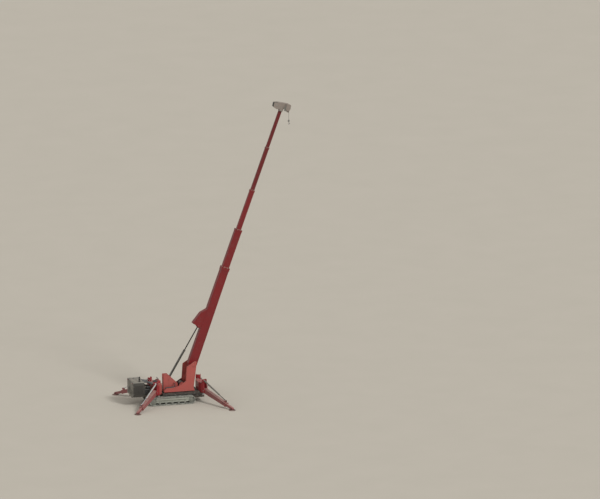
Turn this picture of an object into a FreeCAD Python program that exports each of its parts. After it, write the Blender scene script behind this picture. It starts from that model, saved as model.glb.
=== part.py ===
import FreeCAD, Part
import math
import operator
import os
import Sketcher

# A spider crane on two fixed crawler tracks: slewing turret, luffing boom of five
# telescoping box sections, and four outriggers that swing, lift and extend.
# Millimetres. The origin is on the ground on the slew axis. +X runs along the tracks,
# to the side that the boom leans to, +Y is the far side and +Z is up.
# The two sides of the machine are called near (-Y) and far (+Y).

V = FreeCAD.Vector
doc = FreeCAD.newDocument("spider_crane")
sheet = doc.addObject("Spreadsheet::Sheet", "Sizes")

# alias, number in millimetres or degrees, what it is
SIZES = [
    ("track_length", 2800, "a track over its shoes"),
    ("track_height", 500, "a track from the ground to its top shoes"),
    ("track_width", 360, "width of a shoe"),
    ("track_spacing", 1365, "between the middles of the two tracks"),
    ("track_middle", -530, "place of the middle of the tracks along X"),
    ("belt_thickness", 40, "track belt without its shoes"),
    ("shoe_height", 24, "shoe above the belt"),
    ("shoe_pitch", 108, "nominal distance from shoe to shoe"),
    ("shoe_length", 66, "shoe along the belt"),
    ("wheel_gap", 2, "between the belt and the wheels inside it"),
    ("wheel_width", 290, "width of the track wheels"),
    ("road_roller_radius", 74, "track roller on the ground run"),
    ("roller_spacing", 385, "between road rollers"),
    ("top_roller_radius", 42, "roller under the top run"),
    ("side_beam_width", 220, "beam inside a track"),
    ("side_beam_low", 165, "underside of that beam"),
    ("side_beam_high", 345, "top of that beam"),
    ("hub_radius", 78, "hub of the two end wheels"),
    ("hub_stand_out", 14, "hub beyond the end wheels"),
    ("spine_width", 600, "box frame between the tracks"),
    ("spine_low", 230, "underside of the box frame"),
    ("spine_high", 560, "top of the box frame"),
    ("spine_left", -1560, "end of the box frame"),
    ("spine_right", 1560, "other end of the box frame"),
    ("crossbeam_length", 220, "beam to the tracks, along X"),
    ("crossbeam_low", 222, "its underside"),
    ("crossbeam_high", 335, "its top"),
    ("crossbeam_left", -1150, "middle of the left crossbeam"),
    ("crossbeam_right", 90, "middle of the right crossbeam"),
    ("rail_width", 90, "rail under the power pack"),
    ("rail_spacing", 480, "between the two rails"),
    ("rail_low", 470, "underside of the rails"),
    ("rail_end", -2860, "left end of the rails"),
    ("deck_left", -1050, "left edge of the deck"),
    ("deck_right", 1190, "right edge of the deck"),
    ("deck_width", 1240, "deck over the tracks"),
    ("deck_thickness", 95, "deck"),
    ("ring_radius", 430, "slew ring on the deck"),
    ("ring_height", 33, "slew ring above the deck"),
    ("ring_gap", 2, "running gap under the turret"),
    ("pedestal_left_width", 680, "left pedestal across the machine"),
    ("pedestal_left_high", 1225, "top of the left pedestal"),
    ("pedestal_right_width", 640, "right pedestal across the machine"),
    ("pedestal_right_high", 1145, "top of the right pedestal"),
    ("pedestal_right_left", 1205, "inner end of the right pedestal"),
    ("turret_sweep", 1075, "radius kept clear for the turret"),
    ("lug_radius", 105, "round end of a pedestal lug"),
    ("lug_thickness", 50, "pedestal lug"),
    ("lug_low", 560, "underside of the lower lugs"),
    ("lug_gap", 5, "between a lug and a swing bracket"),
    ("kingpin_radius", 42, "pin through the lugs"),
    ("kingpin_head", 22, "kingpin above its upper lug"),
    ("pack_left", -2880, "left end of the power pack housing"),
    ("pack_right", -2190, "right end of the power pack housing"),
    ("pack_width", 1260, "housing across the machine"),
    ("pack_high", 1460, "top of the housing"),
    ("pack_round", 45, "rounded edges of the housing"),
    ("louvre_count", 6, "slots in each side of the housing"),
    ("louvre_length", 380, "a slot"),
    ("louvre_height", 34, "a slot"),
    ("louvre_depth", 18, "a slot"),
    ("engine_left", -2170, "engine block"),
    ("engine_length", 470, "engine block"),
    ("engine_width", 520, "engine block"),
    ("engine_low", 590, "underside of the engine"),
    ("engine_height", 520, "engine block"),
    ("tank_width", 170, "hydraulic tank beside the engine"),
    ("tank_height", 470, "hydraulic tank"),
    ("filler_radius", 36, "filler cap of the tank"),
    ("filler_height", 40, "filler cap of the tank"),
    ("exhaust_radius", 55, "exhaust pipe"),
    ("exhaust_high", 1760, "top of the exhaust"),
    ("exhaust_place", -2450, "exhaust along X"),
    ("exhaust_side", -480, "exhaust across the machine"),
    ("valve_height", 150, "valve bank on the left pedestal"),
    ("valve_length", 210, "valve bank along X"),
    ("valve_width", 420, "valve bank across the machine"),
    ("lever_count", 6, "control levers"),
    ("lever_radius", 9, "a lever"),
    ("lever_height", 130, "a lever"),
    ("turret_left", -930, "left end of the turret"),
    ("turret_right", 930, "right end of the turret's base"),
    ("turret_width", 950, "over the two cheek plates"),
    ("cheek_thickness", 35, "a cheek plate"),
    ("floor_thickness", 40, "turret floor"),
    ("cheek_left_high", 920, "top of the cheeks at their left end"),
    ("cheek_middle_high", 1085, "top of the cheeks beside the winch"),
    ("column_left", 380, "foot of the column's left edge"),
    ("column_waist", 860, "narrowest place of the column's right edge"),
    ("column_high", 2450, "top of the column"),
    ("column_top_left", 440, "left corner of the column's top"),
    ("column_top_right", 1060, "right corner of the column's top"),
    ("column_left_high", 2150, "left corner of the column above the ground"),
    ("column_crown", 930, "end of the slope on the column's top"),
    ("column_round", 60, "rounded corners of the column's top"),
    ("column_plate", 35, "cross plate between the cheeks"),
    ("column_plate_drop", 370, "top of that plate below the boom pivot"),
    ("column_waist_rise", 210, "waist above the turret floor"),
    ("shoulder_rise", 200, "foot of the column above the cheek beside it"),
    ("shoulder_run", 300, "sloping shoulder at the foot of the column"),
    ("nose_run", 130, "sloping nose at the left end of a cheek"),
    ("nose_drop", 100, "that nose"),
    ("step_run", 700, "step in the top of a cheek from its left end"),
    ("step_rise", 40, "that step"),
    ("bracket_left", -900, "left edge of the luffing cylinder's foot bracket"),
    ("bracket_high", 1700, "top of that bracket"),
    ("bracket_top_length", 280, "flat top of that bracket"),
    ("bracket_toe", -30, "right end of that bracket"),
    ("bracket_toe_high", 1130, "its height at the right end"),
    ("bracket_inner", 260, "clear width between its plates"),
    ("bracket_plate", 30, "a plate of that bracket"),
    ("luff_foot_across", -553, "lower pin of the luffing cylinder along X"),
    ("luff_foot_high", 1400, "lower pin of the luffing cylinder above the ground"),
    ("luff_pin_radius", 35, "lower pin"),
    ("pin_gap", 1.5, "running gap round a pin"),
    ("winch_across", 220, "winch axis along X"),
    ("winch_high", 1085, "winch axis above the ground"),
    ("drum_radius", 105, "winch drum"),
    ("drum_width", 430, "winch drum over its flanges"),
    ("flange_radius", 180, "drum flange"),
    ("flange_thickness", 18, "drum flange"),
    ("winch_plate", 25, "plate that carries the winch"),
    ("winch_gap", 8, "between the drum and its plates"),
    ("winch_shaft_radius", 30, "winch shaft"),
    ("motor_radius", 88, "winch motor"),
    ("motor_length", 150, "winch motor"),
    ("boom_foot_across", 850, "boom pivot along X"),
    ("boom_foot_high", 2220, "boom pivot above the ground"),
    ("boom_rise", 70, "boom above horizontal, in degrees"),
    ("boom_shaft_radius", 60, "boom pivot shaft"),
    ("boom_boss_radius", 115, "boss round the boom pivot"),
    ("boom_boss_gap", 10, "between the bosses and the cheeks"),
    ("base_width", 340, "boom base across the machine"),
    ("base_under", 240, "underside of the base from the boom axis"),
    ("base_back_foot", 295, "back of the base from the axis, at the foot"),
    ("base_back_head", 235, "back of the base from the axis, at the head"),
    ("base_tail", 280, "base behind the pivot"),
    ("base_tail_slope", 60, "sloping corners of that tail"),
    ("base_length", 6070, "base from the pivot to its head"),
    ("base_hollow_start", 330, "start of the bore for section 2"),
    ("base_collar_length", 210, "collar at the head of the base"),
    ("base_collar_proud", 16, "that collar above the base"),
    ("slide_gap", 6, "between section 2 and the base"),
    ("nose_collar_length", 110, "collar at the head of a moving section"),
    ("nose_collar_proud", 9, "that collar above its section"),
    ("hood_start", 2185, "foot of the hood over the rod's eye, along the boom"),
    ("hood_peak", 2333, "peak of the hood, along the boom"),
    ("hood_rise", 795, "peak of the hood from the boom axis"),
    ("hood_knee", 3060, "knee of the hood, along the boom"),
    ("hood_knee_rise", 540, "knee of the hood from the boom axis"),
    ("hood_end", 3380, "end of the hood, along the boom"),
    ("hood_wall", 24, "hood plate"),
    ("luff_eye_along", 2250, "upper pin of the luffing cylinder, along the boom"),
    ("luff_eye_rise", 385, "upper pin from the boom axis"),
    ("luff_eye_radius", 62, "eye of the rod"),
    ("luff_eye_width", 120, "eye of the rod across the machine"),
    ("barrel_radius", 58, "luffing cylinder"),
    ("barrel_length", 1950, "from the lower pin to the gland's face"),
    ("barrel_eye_radius", 78, "eye of the barrel"),
    ("barrel_eye_width", 180, "eye of the barrel across the machine"),
    ("gland_radius", 68, "gland of the luffing cylinder"),
    ("gland_length", 90, "gland of the luffing cylinder"),
    ("rod_radius", 34, "rod of the luffing cylinder"),
    ("rod_length", 1960, "rod from its eye to its inner end"),
    ("rod_gap", 2, "between a rod and its barrel"),
    ("head_plate_gap", 270, "clear width between the plates of the boom head"),
    ("head_plate", 20, "plate of the boom head"),
    ("head_top", 425, "top of the boom head above the boom's end"),
    ("head_left", 550, "left end of the boom head from the boom axis"),
    ("head_right", 490, "right end of the boom head from the boom axis"),
    ("head_neck", 110, "head overlapping the last section"),
    ("head_cap", 20, "boom end beyond the last section"),
    ("head_solid", 90, "solid block on the end of the last section"),
    ("head_corner", 120, "cut corners of the boom head"),
    ("head_cheek", 250, "depth of the boom head at its two ends"),
    ("head_throat", 80, "underside of the head beside the boom"),
    ("head_cover", 16, "cover plate of the boom head"),
    ("head_tilt", 80, "left end of the head's top below its right end"),
    ("fall_sheave_along", 140, "fall sheave beyond the boom's end"),
    ("fall_sheave_back", 240, "fall sheave from the boom axis"),
    ("fall_side", -280, "the rope's plane across the machine"),
    ("sheave_radius", 128, "bottom of a sheave's groove"),
    ("sheave_rim", 22, "rim above the groove"),
    ("sheave_width", 40, "a sheave"),
    ("sheave_groove", 22, "width of the groove"),
    ("axle_radius", 24, "axle of a sheave"),
    ("axle_cap", 46, "cap on the outer end of the fall sheave's axle"),
    ("guide_sheave_along", 165, "guide sheave beyond the boom's end"),
    ("guide_sheave_rise", 370, "guide sheave from the boom axis"),
    ("rope_radius", 9, "hoist rope"),
    ("rope_fall", 650, "rope from the sheave to the hook block"),
    ("block_radius", 60, "hook block"),
    ("block_height", 130, "hook block"),
    ("shank_radius", 13, "shank of the hook"),
    ("shank_length", 55, "shank of the hook below its block"),
    ("hook_radius", 46, "middle line of the hook's bowl"),
    ("hook_thickness", 15, "radius of the hook's round bar"),
    ("hook_sweep", 262, "degrees that the bowl goes round"),
    ("root_out", 250, "leg pivot from the kingpin"),
    ("jack_pin_out", 190, "outrigger cylinder's upper pin from the kingpin"),
    ("bracket_barrel_radius", 82, "swing bracket round its kingpin"),
    ("swing_plate", 20, "cheek plate of a swing bracket"),
    ("swing_plate_gap", 6, "between that plate and the leg"),
    ("swing_toe", 125, "swing bracket beyond the leg pivot and below it"),
    ("swing_corner", 35, "cut corners of the swing bracket"),
    ("swing_web", 25, "web of the swing bracket short of its ends"),
    ("swing_neck", 60, "half the width of the bracket at the cylinder pin"),
    ("swing_step", 260, "knee of the bracket above the leg pivot"),
    ("leg_root_radius", 132, "round end of a leg"),
    ("leg_root_height", 264, "leg box at its root"),
    ("leg_end_height", 196, "leg box at its end"),
    ("leg_width", 220, "leg box"),
    ("leg_share", 0.80, "leg box, as a share of the way to the foot"),
    ("leg_collar", 60, "collar at the mouth of the leg box"),
    ("leg_collar_proud", 12, "that collar above the box"),
    ("leg_pin_radius", 30, "leg pivot pin"),
    ("inner_leg_height", 146, "sliding leg"),
    ("inner_leg_width", 136, "sliding leg"),
    ("inner_leg_gap", 5, "between the sliding leg and its box"),
    ("inner_leg_start", 950, "inner end of the sliding leg from the leg's pivot"),
    ("bore_start", 480, "start of the bore in the leg box"),
    ("jack_pin_share", 0.75, "lower pin of the outrigger cylinder on its way to the foot"),
    ("jack_pin_rise", 200, "that pin above the leg's axis"),
    ("ear_gap", 5, "between the rod's eye and the ears on the leg"),
    ("ear_thickness", 15, "an ear"),
    ("ear_length", 110, "an ear along the leg"),
    ("jack_eye_radius", 35, "eye of the outrigger cylinder's rod"),
    ("jack_eye_width", 60, "that eye across the leg"),
    ("jack_pin_radius", 20, "upper pin of the outrigger cylinder"),
    ("jack_barrel_radius", 44, "outrigger cylinder"),
    ("jack_barrel_share", 0.68, "its barrel, as a share of the distance between its pins"),
    ("jack_rod_radius", 22, "its rod"),
    ("jack_rod_share", 0.50, "its rod, as a share of the distance between its pins"),
    ("ankle_height", 100, "middle of the foot's joint above the ground"),
    ("ankle_radius", 62, "boss over the foot"),
    ("foot_radius", 205, "foot plate"),
    ("foot_thickness", 30, "foot plate"),
    ("foot_edge", 14, "rim of the foot plate"),
    ("foot_crown", 110, "radius of the flat top of the foot plate"),
    ("right_kingpin_x", 1376, "kingpins of the right outriggers along X"),
    ("right_kingpin_y", 489, "those kingpins from the middle of the machine"),
    ("right_azimuth", 65.5, "right outriggers from +X, in degrees"),
    ("right_root_high", 720, "that pivot above the ground"),
    ("right_jack_high", 1290, "upper pin of their cylinders above the ground"),
    ("right_reach", 2481, "from that pivot to the foot, on plan"),
    ("right_bracket_high", 1380, "top of their swing brackets"),
    ("left_kingpin_x", -1373, "kingpins of the left outriggers along X"),
    ("left_kingpin_y", 523, "those kingpins from the middle of the machine"),
    ("left_azimuth", 132, "left outriggers from +X, in degrees"),
    ("left_root_high", 800, "that pivot above the ground"),
    ("left_jack_high", 1290, "upper pin of their cylinders above the ground"),
    ("left_reach", 2330, "from that pivot to the foot, on plan"),
    ("left_bracket_high", 1400, "top of their swing brackets"),
]

# The moving boom sections: name, height, width, wall, inner end and head from the boom pivot
SECTIONS = [
    ("boom_section_2", 400, 280, 16, 2900, 8440),
    ("boom_section_3", 270, 190, 12, 5350, 10920),
    ("boom_section_4", 216, 146, 8, 8050, 13600),
    ("boom_section_5", 186, 120, 8, 10450, 15980),
]
SECTION_COLUMNS = ("height", "width", "wall", "start", "end")

OPERATIONS = {"+": operator.add, "-": operator.sub, "*": operator.mul, "/": operator.truediv}


class Size:
    """A size: its number, and the expression over the sheet that gives it."""

    def __init__(self, number, text):
        self.number = float(number)
        self.text = text

    def joined(self, sign, other, turned=False):
        other = as_size(other)
        first, last = (other, self) if turned else (self, other)
        number = OPERATIONS[sign](first.number, last.number)
        return Size(number, "(%s %s %s)" % (first.text, sign, last.text))

    def __add__(self, other):
        return self.joined("+", other)

    def __radd__(self, other):
        return self.joined("+", other, True)

    def __sub__(self, other):
        return self.joined("-", other)

    def __rsub__(self, other):
        return self.joined("-", other, True)

    def __mul__(self, other):
        return self.joined("*", other)

    def __rmul__(self, other):
        return self.joined("*", other, True)

    def __truediv__(self, other):
        return self.joined("/", other)

    def __neg__(self):
        return self.joined("*", -1)


def as_size(size):
    """The same size as a Size, where it may be a plain number."""
    return size if isinstance(size, Size) else Size(size, "%.9g" % size)


def root(size):
    """The square root of a size."""
    return Size(math.sqrt(size.number), "sqrt(%s)" % size.text)


def cosine(angle):
    """The cosine of a size in degrees."""
    return Size(math.cos(math.radians(angle.number)), "cos(%s * 1deg)" % angle.text)


def sine(angle):
    """The sine of a size in degrees."""
    return Size(math.sin(math.radians(angle.number)), "sin(%s * 1deg)" % angle.text)


class Sizes:
    """The sheet's sizes by name."""


dim = Sizes()
section_sizes = [(section[0] + "_" + column, number, "boom section")
                 for section in SECTIONS for column, number in zip(SECTION_COLUMNS, section[1:])]
for row, (alias, number, meaning) in enumerate(SIZES + section_sizes, start=1):
    sheet.set("A%d" % row, meaning)
    sheet.set("B%d" % row, str(number))
    sheet.setAlias("B%d" % row, alias)
    setattr(dim, alias, Size(number, "Sizes." + alias))
doc.recompute()


# Tools that make pieces whose sizes are bound to the sheet

def bind(piece, prop, size):
    piece.setExpression(prop, as_size(size).text)


def put(piece, x=0, y=0, z=0):
    """Bind the place of a piece."""
    for axis, size in zip("xyz", (x, y, z)):
        bind(piece, "Placement.Base." + axis, size)
    return piece


def turn(piece, axis, angle):
    """Turn a piece about an axis through its own origin and bind the angle."""
    piece.Placement.Rotation = FreeCAD.Rotation(V(*axis), as_size(angle).number)
    bind(piece, "Placement.Rotation.Angle", angle)
    return piece


def block(xs, ys, zs):
    """A box between two sizes along each axis."""
    piece = doc.addObject("Part::Box", "Block")
    for prop, (low, high) in zip(("Length", "Width", "Height"), (xs, ys, zs)):
        bind(piece, prop, as_size(high) - low)
    return put(piece, xs[0], ys[0], zs[0])


def across(width, middle=0):
    """The two ends of a width that lies evenly about a middle."""
    return as_size(middle) - as_size(width) / 2, as_size(middle) + as_size(width) / 2


def upright(radius, x, y, zs):
    """A cylinder along Z."""
    piece = doc.addObject("Part::Cylinder", "Upright")
    bind(piece, "Radius", radius)
    bind(piece, "Height", as_size(zs[1]) - zs[0])
    return put(piece, x, y, zs[0])


def cone(low_radius, high_radius, x, y, zs):
    """A cone frustum along Z."""
    piece = doc.addObject("Part::Cone", "Cone")
    bind(piece, "Radius1", low_radius)
    bind(piece, "Radius2", high_radius)
    bind(piece, "Height", as_size(zs[1]) - zs[0])
    return put(piece, x, y, zs[0])


def cross_shaft(radius, x, ys, z):
    """A cylinder along Y."""
    piece = doc.addObject("Part::Cylinder", "CrossShaft")
    bind(piece, "Radius", radius)
    bind(piece, "Height", as_size(ys[1]) - ys[0])
    piece.Placement.Rotation = FreeCAD.Rotation(V(1, 0, 0), -90)
    return put(piece, x, ys[0], z)


def long_shaft(radius, xs, y, z):
    """A cylinder along X."""
    piece = doc.addObject("Part::Cylinder", "LongShaft")
    bind(piece, "Radius", radius)
    bind(piece, "Height", as_size(xs[1]) - xs[0])
    piece.Placement.Rotation = FreeCAD.Rotation(V(0, 1, 0), 90)
    return put(piece, xs[0], y, z)


def outline_sketch(body, name, points):
    """A closed sketch of straight lines in the XZ plane, its corners bound to the sheet."""
    planes = {feature.Role: feature for feature in body.Origin.OriginFeatures}
    sketch = body.newObject("Sketcher::SketchObject", name)
    sketch.AttachmentSupport = [(planes["XZ_Plane"], "")]
    sketch.MapMode = "FlatFace"
    corners = [(as_size(x), as_size(z)) for x, z in points]
    count = len(corners)
    for index in range(count):
        start, end = corners[index], corners[(index + 1) % count]
        line = Part.LineSegment(V(start[0].number, start[1].number, 0), V(end[0].number, end[1].number, 0))
        sketch.addGeometry(line)
    for index in range(count):
        sketch.addConstraint(Sketcher.Constraint("Coincident", index, 2, (index + 1) % count, 1))
    for index, corner in enumerate(corners):
        for kind, size in zip(("DistanceX", "DistanceY"), corner):
            number = sketch.addConstraint(Sketcher.Constraint(kind, -1, 1, index, 1, size.number))
            sketch.setExpression("Constraints[%d]" % number, size.text)
    return sketch


def plate(points, width, middle=0, rounds=()):
    """A padded outline in the XZ plane, evenly about Y = middle. rounds: (point number, radius)."""
    body = doc.addObject("PartDesign::Body", "Plate")
    sketch = outline_sketch(body, "Outline", points)
    pad = body.newObject("PartDesign::Pad", "Pad")
    pad.Profile = sketch
    pad.SideType = "Symmetric"
    bind(pad, "Length", width)
    for number, radius in rounds:
        doc.recompute()
        solid = body.Tip
        x, z = (as_size(size).number for size in points[number])
        names = corner_edges(solid.Shape, x, z)
        fillet = body.newObject("PartDesign::Fillet", "Round")
        fillet.Base = (solid, names)
        bind(fillet, "Radius", radius)
    return put(body, 0, middle, 0)


def corner_edges(shape, x, z):
    """The edges of a shape along Y through a corner of its outline."""
    names = []
    for index, edge in enumerate(shape.Edges, start=1):
        ends = [vertex.Point for vertex in edge.Vertexes]
        if len(ends) == 2 and all(abs(end.x - x) < 0.01 and abs(end.z - z) < 0.01 for end in ends):
            names.append("Edge%d" % index)
    return names


def fuse(*pieces):
    piece = doc.addObject("Part::MultiFuse", "Joined")
    piece.Shapes = list(pieces)
    piece.Refine = True
    return piece


def cut(base, *tools):
    piece = doc.addObject("Part::Cut", "Trimmed")
    piece.Base = base
    piece.Tool = tools[0] if len(tools) == 1 else fuse(*tools)
    return piece


def group(*pieces):
    """Solids that don't touch, kept in one sub-part."""
    piece = doc.addObject("Part::Compound", "Group")
    piece.Links = list(pieces)
    return piece


nodes = []


def node(name, piece):
    """Name a finished sub-part."""
    piece.Label = name
    nodes.append(piece)
    return piece


SIDES = (("near", -1), ("far", 1))


# Tracks: each is one loop with its shoes in its outline

def stadium_point(straight, radius, path, out):
    """A point at a distance along a stadium's outline, moved outwards; the path starts at the top left."""
    arc = math.pi * radius
    if path < straight:
        return -straight / 2 + path, radius + out
    path -= straight
    if path < arc:
        angle = math.pi / 2 - path / radius
        return straight / 2 + (radius + out) * math.cos(angle), (radius + out) * math.sin(angle)
    path -= arc
    if path < straight:
        return straight / 2 - path, -radius - out
    path -= straight
    angle = -math.pi / 2 - path / radius
    return -straight / 2 + (radius + out) * math.cos(angle), (radius + out) * math.sin(angle)


def track_outline():
    """The outer and inner wires of a track, about its own middle, in the XZ plane."""
    shoe, belt = dim.shoe_height.number, dim.belt_thickness.number
    radius = dim.track_height.number / 2 - shoe
    straight = dim.track_length.number - dim.track_height.number
    total = 2 * straight + 2 * math.pi * radius
    count = round(total / dim.shoe_pitch.number)
    pitch = total / count
    flat = dim.shoe_length.number / 2
    slope = shoe / 3
    outer = []
    for index in range(count):
        middle = (index + 0.5) * pitch
        for along, out in ((-flat - slope, 0), (-flat, shoe), (flat, shoe), (flat + slope, 0)):
            outer.append(stadium_point(straight, radius, middle + along, out))
    inner = []
    turn_points = 12
    arc = math.pi * radius
    for start in (straight, 2 * straight + arc):
        for index in range(turn_points + 1):
            path = min(start + arc * index / turn_points, total - 1e-6)
            inner.append(stadium_point(straight, radius, path, -belt))
    return outer, inner


def closed_face(outer, inner, y):
    wires = []
    for points in (outer, inner):
        corners = [V(x, y, z) for x, z in points]
        wires.append(Part.makePolygon(corners + corners[:1]))
    face = Part.Face(wires)
    face.validate()
    return face


track_face = closed_face(*track_outline(), -dim.track_width.number / 2)
wheel_radius = dim.track_height / 2 - dim.shoe_height - dim.belt_thickness - dim.wheel_gap
wheel_reach = (dim.track_length - dim.track_height) / 2
road_roller_high = dim.shoe_height + dim.belt_thickness + dim.wheel_gap + dim.road_roller_radius
top_roller_high = dim.track_height - dim.shoe_height - dim.belt_thickness - dim.wheel_gap - dim.top_roller_radius
ROAD_ROLLERS = (-2, -1, 0, 1, 2)
TOP_ROLLERS = (-1, 1)

track_frames = []
for side, sign in SIDES:
    middle = sign * dim.track_spacing / 2
    loop = doc.addObject("Part::Feature", "TrackLoop")
    loop.Shape = track_face.extrude(V(0, dim.track_width.number, 0))
    put(loop, dim.track_middle, middle, dim.track_height / 2)
    node("track_loop_" + side, loop)

    wheel_ys = across(dim.wheel_width, middle)
    hub_ys = across(dim.wheel_width + 2 * dim.hub_stand_out, middle)
    pieces = [block((dim.track_middle - wheel_reach, dim.track_middle + wheel_reach),
                    across(dim.side_beam_width, middle), (dim.side_beam_low, dim.side_beam_high))]
    for end in (-1, 1):
        place = dim.track_middle + end * wheel_reach
        pieces.append(cross_shaft(wheel_radius, place, wheel_ys, dim.track_height / 2))
        pieces.append(cross_shaft(dim.hub_radius, place, hub_ys, dim.track_height / 2))
    for step in ROAD_ROLLERS:
        place = dim.track_middle + step * dim.roller_spacing
        pieces.append(cross_shaft(dim.road_roller_radius, place, wheel_ys, road_roller_high))
    for step in TOP_ROLLERS:
        place = dim.track_middle + step * dim.roller_spacing
        pieces.append(cross_shaft(dim.top_roller_radius, place, wheel_ys, top_roller_high))
        pieces.append(block(across(dim.top_roller_radius, place), across(dim.side_beam_width, middle),
                            (dim.side_beam_high, top_roller_high)))
    track_frames.append(fuse(*pieces))
node("track_frames", group(*track_frames))


# Chassis: a box frame between the tracks, its crossbeams, rails and deck

beam_reach = dim.track_spacing - dim.side_beam_width
pieces = [block((dim.spine_left, dim.spine_right), across(dim.spine_width), (dim.spine_low, dim.spine_high))]
for place in (dim.crossbeam_left, dim.crossbeam_right):
    pieces.append(block(across(dim.crossbeam_length, place), across(beam_reach),
                        (dim.crossbeam_low, dim.crossbeam_high)))
for side, sign in SIDES:
    pieces.append(block((dim.rail_end, dim.spine_left + dim.rail_width),
                        across(dim.rail_width, sign * dim.rail_spacing / 2), (dim.rail_low, dim.spine_high)))
node("chassis_frame", fuse(*pieces))

deck_high = dim.spine_high + dim.deck_thickness
ring_high = deck_high + dim.ring_height
turret_low = ring_high + dim.ring_gap
node("deck", fuse(block((dim.deck_left, dim.deck_right), across(dim.deck_width), (dim.spine_high, deck_high)),
                  upright(dim.ring_radius, 0, 0, (deck_high, ring_high))))


# Outriggers: where each stands, with its places worked out from the sheet

class Outrigger:
    """One outrigger: its places from the sheet, and the frames of its pieces."""

    def __init__(self, end, side, sign):
        self.name = "outrigger_%s_%s_" % (side, end)
        self.azimuth = sign * getattr(dim, end + "_azimuth")
        self.root_high = getattr(dim, end + "_root_high")
        self.jack_high = getattr(dim, end + "_jack_high")
        self.reach = getattr(dim, end + "_reach")
        self.bracket_high = getattr(dim, end + "_bracket_high")
        self.pedestal_high = getattr(dim, "pedestal_" + end + "_high")
        self.x = getattr(dim, end + "_kingpin_x")
        self.y = sign * getattr(dim, end + "_kingpin_y")
        self.drop = self.root_high - dim.ankle_height
        self.length = root(self.reach * self.reach + self.drop * self.drop)
        self.slope = math.degrees(math.atan2(self.drop.number, self.reach.number))
        self.set_jack()

    def set_jack(self):
        """The outrigger cylinder's slope and its length between pins, in the leg's own plane."""
        slope = math.radians(self.slope)
        along = dim.jack_pin_share.number * self.length.number
        rise = dim.jack_pin_rise.number
        out = dim.root_out.number + along * math.cos(slope) + rise * math.sin(slope)
        up = self.root_high.number - along * math.sin(slope) + rise * math.cos(slope)
        run = out - dim.jack_pin_out.number
        fall = self.jack_high.number - up
        self.jack_slope = math.degrees(math.atan2(fall, run))
        self.jack_length = math.hypot(run, fall)

    def place(self, piece, out, high, slope):
        """Put a piece at a distance from the kingpin and a height, sloping down outwards."""
        swing = FreeCAD.Rotation(V(0, 0, 1), self.azimuth.number)
        tilt = FreeCAD.Rotation(V(0, 1, 0), slope)
        piece.Placement.Rotation = swing * tilt
        return put(piece, self.x + out * cosine(self.azimuth), self.y + out * sine(self.azimuth), high)


outriggers = {(end, side): Outrigger(end, side, sign) for end in ("right", "left") for side, sign in SIDES}


# Pedestals: they stand on the frame and carry the kingpins in two lugs each

def pedestal(end, xs, width, high):
    pieces = [block(xs, across(width), (dim.spine_high, high))]
    for side, sign in SIDES:
        leg = outriggers[end, side]
        arm_ys = (0, leg.y) if sign > 0 else (leg.y, 0)
        for low in (dim.lug_low, high - dim.lug_thickness):
            top = low + dim.lug_thickness
            pieces.append(block(across(2 * dim.lug_radius, leg.x), arm_ys, (low, top)))
            pieces.append(upright(dim.lug_radius, leg.x, leg.y, (low, top)))
        pieces.append(upright(dim.kingpin_radius, leg.x, leg.y, (dim.lug_low, high + dim.kingpin_head)))
    sweep = upright(dim.turret_sweep, 0, 0, (dim.spine_low, dim.column_high))
    return cut(fuse(*pieces), sweep)


node("pedestal_left", pedestal("left", (dim.spine_left, dim.deck_left - dim.ring_gap),
                               dim.pedestal_left_width, dim.pedestal_left_high))
node("pedestal_right", pedestal("right", (dim.pedestal_right_left, dim.spine_right),
                                dim.pedestal_right_width, dim.pedestal_right_high))


# Power pack: a closed housing, with the engine, tank, exhaust and valves beside it

def housing():
    body = doc.addObject("PartDesign::Body", "Housing")
    points = [(dim.pack_left, dim.spine_high), (dim.pack_right, dim.spine_high),
              (dim.pack_right, dim.pack_high), (dim.pack_left, dim.pack_high)]
    pad = body.newObject("PartDesign::Pad", "Pad")
    pad.Profile = outline_sketch(body, "Outline", points)
    pad.SideType = "Symmetric"
    bind(pad, "Length", dim.pack_width)
    doc.recompute()
    high = dim.pack_high.number
    names = [name for name, edge in edges_by_name(pad.Shape) if edge.BoundBox.ZMin > high - 0.01]
    fillet = body.newObject("PartDesign::Fillet", "Round")
    fillet.Base = (pad, names)
    bind(fillet, "Radius", dim.pack_round)
    return body


def edges_by_name(shape):
    return [("Edge%d" % index, edge) for index, edge in enumerate(shape.Edges, start=1)]


pack_middle = (dim.pack_left + dim.pack_right) / 2
slots = []
for side, sign in SIDES:
    face = sign * dim.pack_width / 2
    for index in range(int(dim.louvre_count.number)):
        low = dim.spine_high + (index + 3) * 2 * dim.louvre_height
        slots.append(block(across(dim.louvre_length, pack_middle), across(2 * dim.louvre_depth, face),
                           (low, low + dim.louvre_height)))
node("power_pack_housing", cut(housing(), *slots))

engine_right = dim.engine_left + dim.engine_length
engine_high = dim.engine_low + dim.engine_height
engine_ys = (-dim.engine_width / 2 - dim.tank_width / 2, dim.engine_width / 2 - dim.tank_width / 2)
engine_foot = block((dim.engine_left, engine_right), engine_ys, (dim.spine_high, dim.engine_low))
node("engine_block", fuse(engine_foot, block((dim.engine_left, engine_right), engine_ys, (dim.engine_low, engine_high))))
tank_ys = (engine_ys[1], engine_ys[1] + dim.tank_width)
tank_high = dim.engine_low + dim.tank_height
filler = upright(dim.filler_radius, (dim.engine_left + engine_right) / 2, (tank_ys[0] + tank_ys[1]) / 2,
                 (tank_high, tank_high + dim.filler_height))
node("hydraulic_tank", fuse(block((dim.engine_left, engine_right), tank_ys, (dim.spine_high, tank_high)), filler))
node("exhaust_pipe", upright(dim.exhaust_radius, dim.exhaust_place, dim.exhaust_side, (dim.pack_high, dim.exhaust_high)))

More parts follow.
